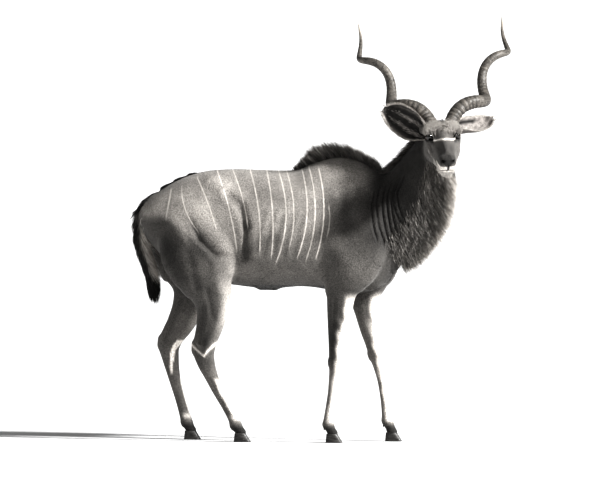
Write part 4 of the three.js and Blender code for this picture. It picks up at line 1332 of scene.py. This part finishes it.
def tail_hair(skin, material):
    """Dark hair down the outside of the tail, pale on the inside, and a black tuft."""
    s = TAIL.place(skin["points"]) / (TAIL.count - 1)
    roots = rooted(skin, skin["in_tail"] * ease(s, 0.12, 0.2), 10000)
    place, _, v, _, row = TAIL.local(roots["points"])
    inner = ease(v / row[:, 13], -0.1, 0.6)
    black = ease(place, 0.74, 0.8)
    roots["tone"] = painted(0.03, (0.5, inner), (0.012, black))
    reach = 32 + (30 + 12 * inner) * ease(place, 0.1, 0.4) + 14 * black
    along = row[:, 9:12]
    sway = (0.75 * inner - 0.22 * (1 - inner)) * (1 - black)
    grow("tail_hair", material, ["tail"], roots, lie_on(along, unit(roots["normal"])), reach,
         3.0, 0.35, fall=unit(along + FORWARD * sway[:, None]), segments=3)


def beard(skin, material):
    """The few longer hairs on the chin."""
    h = to_head(skin["points"])
    chin = skin["in_head"] * ease(h[:, 0], 195, 215) * ease(-h[:, 2], 112, 122)
    roots = rooted(skin, chin, 900)
    roots["tone"] = np.full(len(roots["tone"]), 0.5)
    down = unit(-HEAD_AXES[2] * 0.8 - HEAD_AXES[0] * 0.5)
    grow("beard", material, ["head"], roots, down, 22, 1.6, 0.6, fall=down, segments=3)


def forelock(skin, material):
    """The tufted hair round the roots of the horns."""
    x, y, z = to_head(skin["points"]).T
    close = near(np.abs(y), 46, 34) * near(x, 34, 26) * ease(z, -34, -10)
    roots = rooted(skin, skin["in_head"] * close, 6500)
    y = to_head(roots["points"])[:, 1]
    away = np.stack([np.full(len(y), -28.0), (y - 42 * np.sign(y)) * 1.2, np.full(len(y), 16.0)], 1)
    roots["tone"] = np.full(len(y), 0.18)
    reach = 16 + 18 * near(np.abs(y), 46, 30)
    grow("forelock", material, ["head"], roots, unit(away) @ HEAD_AXES, reach, 1.8, 0.8,
         segments=3, pale=0.45)


def ear_faces(rows, columns):
    """The two sheets of an ear's cup, and the rim that joins them."""
    count = rows * columns
    i, j = np.meshgrid(np.arange(rows - 1), np.arange(columns - 1), indexing="ij")
    a = (i * columns + j).ravel()
    sheet = np.stack([a, a + 1, a + columns + 1, a + columns], 1)
    down, across = np.arange(rows) * columns, np.arange(columns)
    edges = (down, down[::-1] + columns - 1, (rows - 1) * columns + across, across[::-1])
    rim = [np.stack([e[:-1], e[1:], e[1:] + count, e[:-1] + count], 1) for e in edges]
    return np.vstack([sheet, sheet[:, ::-1] + count, *rim])


def ear_mesh(ear):
    """A cup's points, faces, tones with painted shade in the linings, places on the chart, places across
    it, and which are its lining.
    """
    side = EARS[ear][0]
    rows, columns = 44, 30
    t = np.repeat(np.linspace(0.02, 1, rows), columns)
    w = np.tile(np.linspace(-1, 1, columns), rows)
    ripple = 1.2 * np.sin(w * 9) * ease(t, 0.1, 0.4) * ease(-t, -0.95, -0.5)
    lining = ear_point(ear, t, w * 0.985, EAR_LINING + ripple)
    back = ear_point(ear, t, w, EAR_BACK + ripple - 2.0 * np.abs(w) ** 6)
    if side < 0:
        streaks = near(w, 0.42, 0.09) + near(w, -0.1, 0.08) + near(w, -0.6, 0.08)
        # the near ear's lining painted dark as painted shade, with its own pale streaks of hair and pale
        # rim
        inside = 0.022 + 0.12 * streaks * ease(-t, -0.95, -0.4) + 0.5 * np.abs(w) ** 11
    else:
        # the far ear's pale lining, with a painted shadow in a streak inside the cup
        inside = over(0.3, 0.012, near(w, -0.62, 0.2) * ease(-t, -0.75, -0.55))
    tone = np.concatenate([inside, np.full(len(w), 0.15)])
    chart = np.stack([np.concatenate([w * 0.22 + 0.25, w * 0.22 + 0.75]), np.tile(0.05 + 0.9 * t, 2)], 1)
    points, faces = np.vstack([lining, back]), ear_faces(rows, columns)[:, ::side]
    return from_crown(points), faces, tone, chart, np.tile(w, 2), np.repeat([1.0, 0.0], len(w))


def ear_hair(ear, surface, material):
    """Short hair on the back of an ear, and a pale fringe along its rims and streaks."""
    w, lining = surface["w"], surface["lining"]
    point = unit(np.array(EARS[ear][2])) @ CROWN_AXES
    roots = spread(surface, 1.0 - 0.6 * lining, 9000)
    lie = lie_on(point, unit(roots["normal"]))
    grow(f"ear_{ear}_fur", material, [f"ear_{ear}"], roots, lie, 9, 1.5, 0.22)
    streaks = 0.12 * near(w, 0.42, 0.08) + 0.1 * near(w, -0.1, 0.08)
    roots = spread(surface, lining * (ease(np.abs(w), 0.86, 0.98) + streaks), 2200)
    normal = unit(roots["normal"])
    inward = unit(point - 0.6 * normal)
    roots["tone"] = np.full(len(normal), 0.42)
    grow(f"ear_{ear}_fringe", material, [f"ear_{ear}"], roots, lie_on(inward, normal), 24, 1.4, 0.4,
         fall=inward, segments=3)


def build_ears(material, hair):
    for ear in EARS:
        points, faces, tone, chart, w, lining = ear_mesh(ear)
        mesh = mesh_of(f"ear_{ear}_cup", points, faces)
        reworked(mesh, turn_out)
        set_attribute(mesh, "tone", tone)
        piece(mesh, material, [f"ear_{ear}"])
        surface = {"points": points, "tris": triangles_of(mesh), "normal": normals_of(mesh), "tone": tone}
        surface |= {"chart": chart, "w": w, "lining": lining, "trunk": np.zeros(len(points))}
        ear_hair(ear, surface, hair)


# Horns: a corkscrew on each side, one the mirror image of the other
HORN_LENGTH = 1050.0
HORN_TURNS = 2.31
HORN_COIL = 63.0
HORN_BASE_RADIUS = 38.0
HORN_TIP_RADIUS = 4.0
HORN_OUTWARD, HORN_RAISED, HORN_PHASE = np.radians([37.0, 5.0, -80.6])
HORN_CURL = 300.0
HORN_ROOT = np.array([0.0, 42.0, -4.0])
HORN_RINGS = 46
HORN_RING_HEIGHT = 1.7
HORN_KEEL = 2.1  # the angle round the horn at which its ridge runs
HORN_KEEL_HEIGHT = 0.13  # as a share of the radius
HORN_AXIS = np.array([
    -math.cos(HORN_OUTWARD) * math.cos(HORN_RAISED),
    math.sin(HORN_OUTWARD),
    math.cos(HORN_OUTWARD) * math.sin(HORN_RAISED),
])
HORN_SIDE = unit(np.cross(UP, HORN_AXIS))
HORN_UP = np.cross(HORN_AXIS, HORN_SIDE)


def horn_spoke(t):
    """The way out of the corkscrew's axis at t, from 0 at the root to 1 at the tip."""
    phase = HORN_PHASE + 2 * math.pi * HORN_TURNS * np.maximum(t, 0) ** 0.838
    return HORN_SIDE * np.cos(phase)[:, None] + HORN_UP * np.sin(phase)[:, None]


def horn_centre(t):
    """The middle of the horn: a corkscrew that curls inwards towards the tip."""
    widening = 0.25 + 0.75 * np.sin(math.pi / 2 * np.clip(t / 0.5, 0, 1))
    coil = HORN_COIL * widening * np.maximum(1 - t, 0.06) ** 0.43
    line = HORN_AXIS * (HORN_LENGTH * t)[:, None] + horn_spoke(t) * coil[:, None]
    return line + np.array([0, -HORN_CURL, 0]) * (t * t)[:, None]


def horn_mesh(side):
    """A ringed horn with a keel: its points, faces, place along it and depth of its grooves."""
    rows, columns = 420, 36
    t = np.linspace(-0.035, 0.999, rows)
    centre = horn_centre(t)
    along = unit(horn_centre(t + 0.002) - horn_centre(t - 0.002))
    spoke = lie_on(horn_spoke(t), along)
    third = np.cross(along, spoke)
    thick = HORN_TIP_RADIUS + (HORN_BASE_RADIUS - HORN_TIP_RADIUS) * np.clip(1 - t, 0, 1) ** 0.8
    angle = np.linspace(0, 2 * math.pi, columns, endpoint=False)
    rough = ease(-t, -0.72, -0.1)
    ringing = 2 * math.pi * HORN_RINGS * t + 1.2 * np.sin(31 * t) + 0.8 * np.sin(77 * t)
    ring = np.sin(ringing) ** 3
    round_keel = np.maximum(0, np.cos(angle - HORN_KEEL)) ** 4
    keel = 1 + HORN_KEEL_HEIGHT * round_keel[None, :] * (1 - t)[:, None]
    front = 0.35 + 0.65 * (0.5 + 0.5 * np.cos(angle - HORN_KEEL))
    bulge = rough[:, None] * ring[:, None] * front[None, :] * HORN_RING_HEIGHT
    wobble = 0.5 * np.sin(3 * angle[None, :] + 40 * t[:, None]) * rough[:, None]
    r = thick[:, None] * keel - 1.6 + bulge + wobble
    r[-1] = 0.4
    points = centre[:, None] + spoke[:, None] * (r * np.cos(angle))[..., None]
    points = points + third[:, None] * (r * np.sin(angle))[..., None]
    points = points + (HORN_ROOT - horn_centre(np.zeros(1))[0])
    points = points.reshape(-1, 3)
    faces = tube_faces(rows, columns)
    groove = np.repeat(rough * np.clip(-ring * 0.9 + 0.1, 0, 1), columns)
    if side < 0:
        points, faces = points * [1, -1, 1], faces[:, ::-1]
    return from_crown(points), faces, np.repeat(np.clip(t, 0, 1), columns), groove


def build_horns():
    material = horn_material()
    for name, side in SIDES[::-1]:
        points, faces, along, groove = horn_mesh(side)
        mesh = mesh_of(f"horn_{name}", points, faces)
        reworked(mesh, close_ends)
        set_attribute(mesh, "along", along)
        set_attribute(mesh, "groove", groove)
        piece(mesh, material, [f"horn_{name}_{part}" for part in ("base", "middle", "tip")])


EYE_GAZE = 0.16  # how far forward of sideways they look
CORNEA = 0.06  # how much of the radius it stands out
PUPIL_HALVES = (7.5, 3.6)
IRIS_RADII = (12.5, 14.5)  # between which its dark rim begins


def eye_mesh(side):
    """A ball with its pole out of the head, and how dark the pupil and the rim make it."""
    rows, columns = 40, 48
    polar = np.linspace(0, math.pi, rows)
    turn = np.linspace(0, 2 * math.pi, columns, endpoint=False)
    theta, phi = np.meshgrid(polar, turn, indexing="ij")
    r = (EYE_RADIUS - 0.9) * (1 + CORNEA * near(theta, 0, 0.55))
    out = r * np.cos(theta)
    x, z = r * np.sin(theta) * np.cos(phi), r * np.sin(theta) * np.sin(phi)
    local = np.stack([x + out * EYE_GAZE, out, z], -1).reshape(-1, 3)
    slit = 1 - ease(np.sqrt((x / PUPIL_HALVES[0]) ** 2 + (z / PUPIL_HALVES[1]) ** 2), 0.8, 1.1)
    dark = np.maximum(slit, ease(np.sqrt(x**2 + z**2), *IRIS_RADII)).ravel()
    return from_head((local + EYE_PLACE) * [1, side, 1]), tube_faces(rows, columns), dark


def build_eyes():
    material = eye_material()
    for name, side in SIDES[::-1]:
        points, faces, dark = eye_mesh(side)
        mesh = mesh_of(f"eyeball_{name}", points, faces)
        set_attribute(mesh, "pupil", dark)
        reworked(mesh, turn_out)
        piece(mesh, material, [f"eye_{name}"])


TOE_SLOPE = 0.38  # how much shorter a hoof is at its top
HOOF_GAP = 1.5  # from the middle of the foot to each half


def digit_mesh(x, y, side):
    """One half of a cloven hoof, flat underneath."""
    rings, columns = 22, 40
    points = []
    for t in np.arange(rings) / (rings - 1):
        long = HOOF_LENGTH * (0.985 - TOE_SLOPE * t) / 2
        wide = DIGIT_WIDTH * (0.96 - 0.12 * t) * (1 - 0.10 * near(t, 0, 0.04)) / 2
        middle = x + 7.6 - 11.5 * t
        groove = 1 + 0.012 * math.sin(24 * t)
        for a in np.linspace(0, 2 * math.pi, columns, endpoint=False):
            pinch = 1 - 0.42 * max(math.cos(a), 0) ** 2
            inner = 0.86 if math.sin(a) * side < 0 else 1.0
            across = wide * math.sin(a) * pinch * inner
            points.append([middle + long * math.cos(a) * groove, y + across, (HOOF_HEIGHT - 1.0) * t])
    return np.array(points), tube_faces(rings, columns)


def build_hooves():
    material = hoof_material()
    for leg, limb in LEGS.items():
        foot = limb.centre[-1]
        for name, side in SIDES:
            points, faces = digit_mesh(foot[0], foot[1] + side * (DIGIT_WIDTH / 2 + HOOF_GAP), side)
            mesh = mesh_of(f"{leg}_digit_{name}", points, faces)
            reworked(mesh, close_ends)
            piece(mesh, material, [f"{leg}_hoof_{name}"])


DEWCLAW_PLACE = 0.91  # along the leg
DEWCLAW_LENGTH, DEWCLAW_RADIUS = 26, 8.5


def dewclaw_mesh(limb, side):
    """One of the two small claws behind the fetlock."""
    way = unit(np.array([-0.42, 0, -0.91]))
    left = np.array([0, 1, 0])
    behind = np.cross(way, left)
    root = limb.section(np.array([DEWCLAW_PLACE * (limb.count - 1)]))[0, :3] + [-24, side * 12, 2]
    rings, columns = 12, 18
    t = np.linspace(0, 1, rings)
    wide = DEWCLAW_RADIUS * np.sqrt(np.maximum(1 - t**2.2, 0.001))
    a = np.linspace(0, 2 * math.pi, columns, endpoint=False)
    points = root + way * (DEWCLAW_LENGTH * (t - 0.5))[:, None, None]
    points = points + left * (wide[:, None] * np.cos(a))[..., None]
    points = points + behind * (wide[:, None] * 0.8 * np.sin(a))[..., None]
    return points.reshape(-1, 3), tube_faces(rings, columns)


def build_dewclaws():
    material = hoof_material()
    for leg, limb in LEGS.items():
        for name, side in SIDES:
            points, faces = dewclaw_mesh(limb, side)
            mesh = mesh_of(f"{leg}_dewclaw_{name}", points, faces)
            reworked(mesh, close_ends)
            piece(mesh, material, [f"{leg}_pastern"])


# Camera and light
VIEW_AZIMUTH, VIEW_RISE = np.radians([10.0, 2.0])
VIEW_FAR = 60.0
FRAME_WIDTH = 3.0  # of the picture at the animal, in metres
SENSOR_WIDTH = 36.0
PICTURE_MIDDLE = (250.0, 955.0)  # to the right of and above the animal's own origin


def view_axes():
    sin, cos = math.sin(VIEW_AZIMUTH), math.cos(VIEW_AZIMUTH)
    right = np.array([cos, sin, 0])
    away = np.array([-sin * math.cos(VIEW_RISE), cos * math.cos(VIEW_RISE), -math.sin(VIEW_RISE)])
    return right, np.cross(right, away), away


def build_camera():
    right, up, away = view_axes()
    aim = (right * PICTURE_MIDDLE[0] + up * PICTURE_MIDDLE[1] + SHIFT) * MM
    data = bpy.data.cameras.new("camera")
    data.sensor_width = SENSOR_WIDTH
    data.lens = SENSOR_WIDTH * VIEW_FAR / FRAME_WIDTH
    data.clip_end = 1000.0
    camera = bpy.data.objects.new("camera", data)
    camera.location = aim - away * VIEW_FAR
    camera.rotation_euler = (math.pi / 2 - VIEW_RISE, 0, VIEW_AZIMUTH)
    bpy.context.scene.collection.objects.link(camera)
    bpy.context.scene.camera = camera


SKY_STRENGTH = 0.16
FLOOR_HALF = 400.0
LIGHTS = (  # name, strength, width in degrees and the way it shines
    ("key", 6.2, 6, (-0.94, 0.28, -0.53)),
    ("fill", 0.25, 60, (0.6, 0.9, -0.5)),
)


def build_light():
    scene = bpy.context.scene
    scene.view_settings.view_transform = "Standard"
    scene.view_settings.look = "High Contrast"
    world = bpy.data.worlds.new("world")
    world.use_nodes = True
    background = world.node_tree.nodes["Background"]
    background.inputs["Color"].default_value = (1, 1, 1, 1)
    background.inputs["Strength"].default_value = SKY_STRENGTH
    scene.world = world
    for name, strength, width, way in LIGHTS:
        data = bpy.data.lights.new(name, "SUN")
        data.energy = strength
        data.angle = math.radians(width)
        light = bpy.data.objects.new(name, data)
        light.rotation_euler = Vector(way).to_track_quat("-Z", "Y").to_euler()
        scene.collection.objects.link(light)


def build_floor():
    corners = [(x * FLOOR_HALF, y * FLOOR_HALF, 0) for x, y in ((-1, -1), (1, -1), (1, 1), (-1, 1))]
    mesh = bpy.data.meshes.new("floor")
    mesh.from_pydata(corners, [], [(0, 1, 2, 3)])
    floor = bpy.data.objects.new("floor", mesh)
    floor.data.materials.append(floor_material())
    bpy.context.scene.collection.objects.link(floor)


build_camera()
build_light()
build_floor()
SKIN = build_skin()
HAIR = coat_material("hair", hair=True)
for grow_part in (short_coat, crest_withers, crest_neck, crest_rump, ruff, tail_hair, beard, forelock):
    grow_part(SKIN, HAIR)
build_ears(ear_material(), HAIR)
build_horns()
build_eyes()
build_hooves()
build_dewclaws()
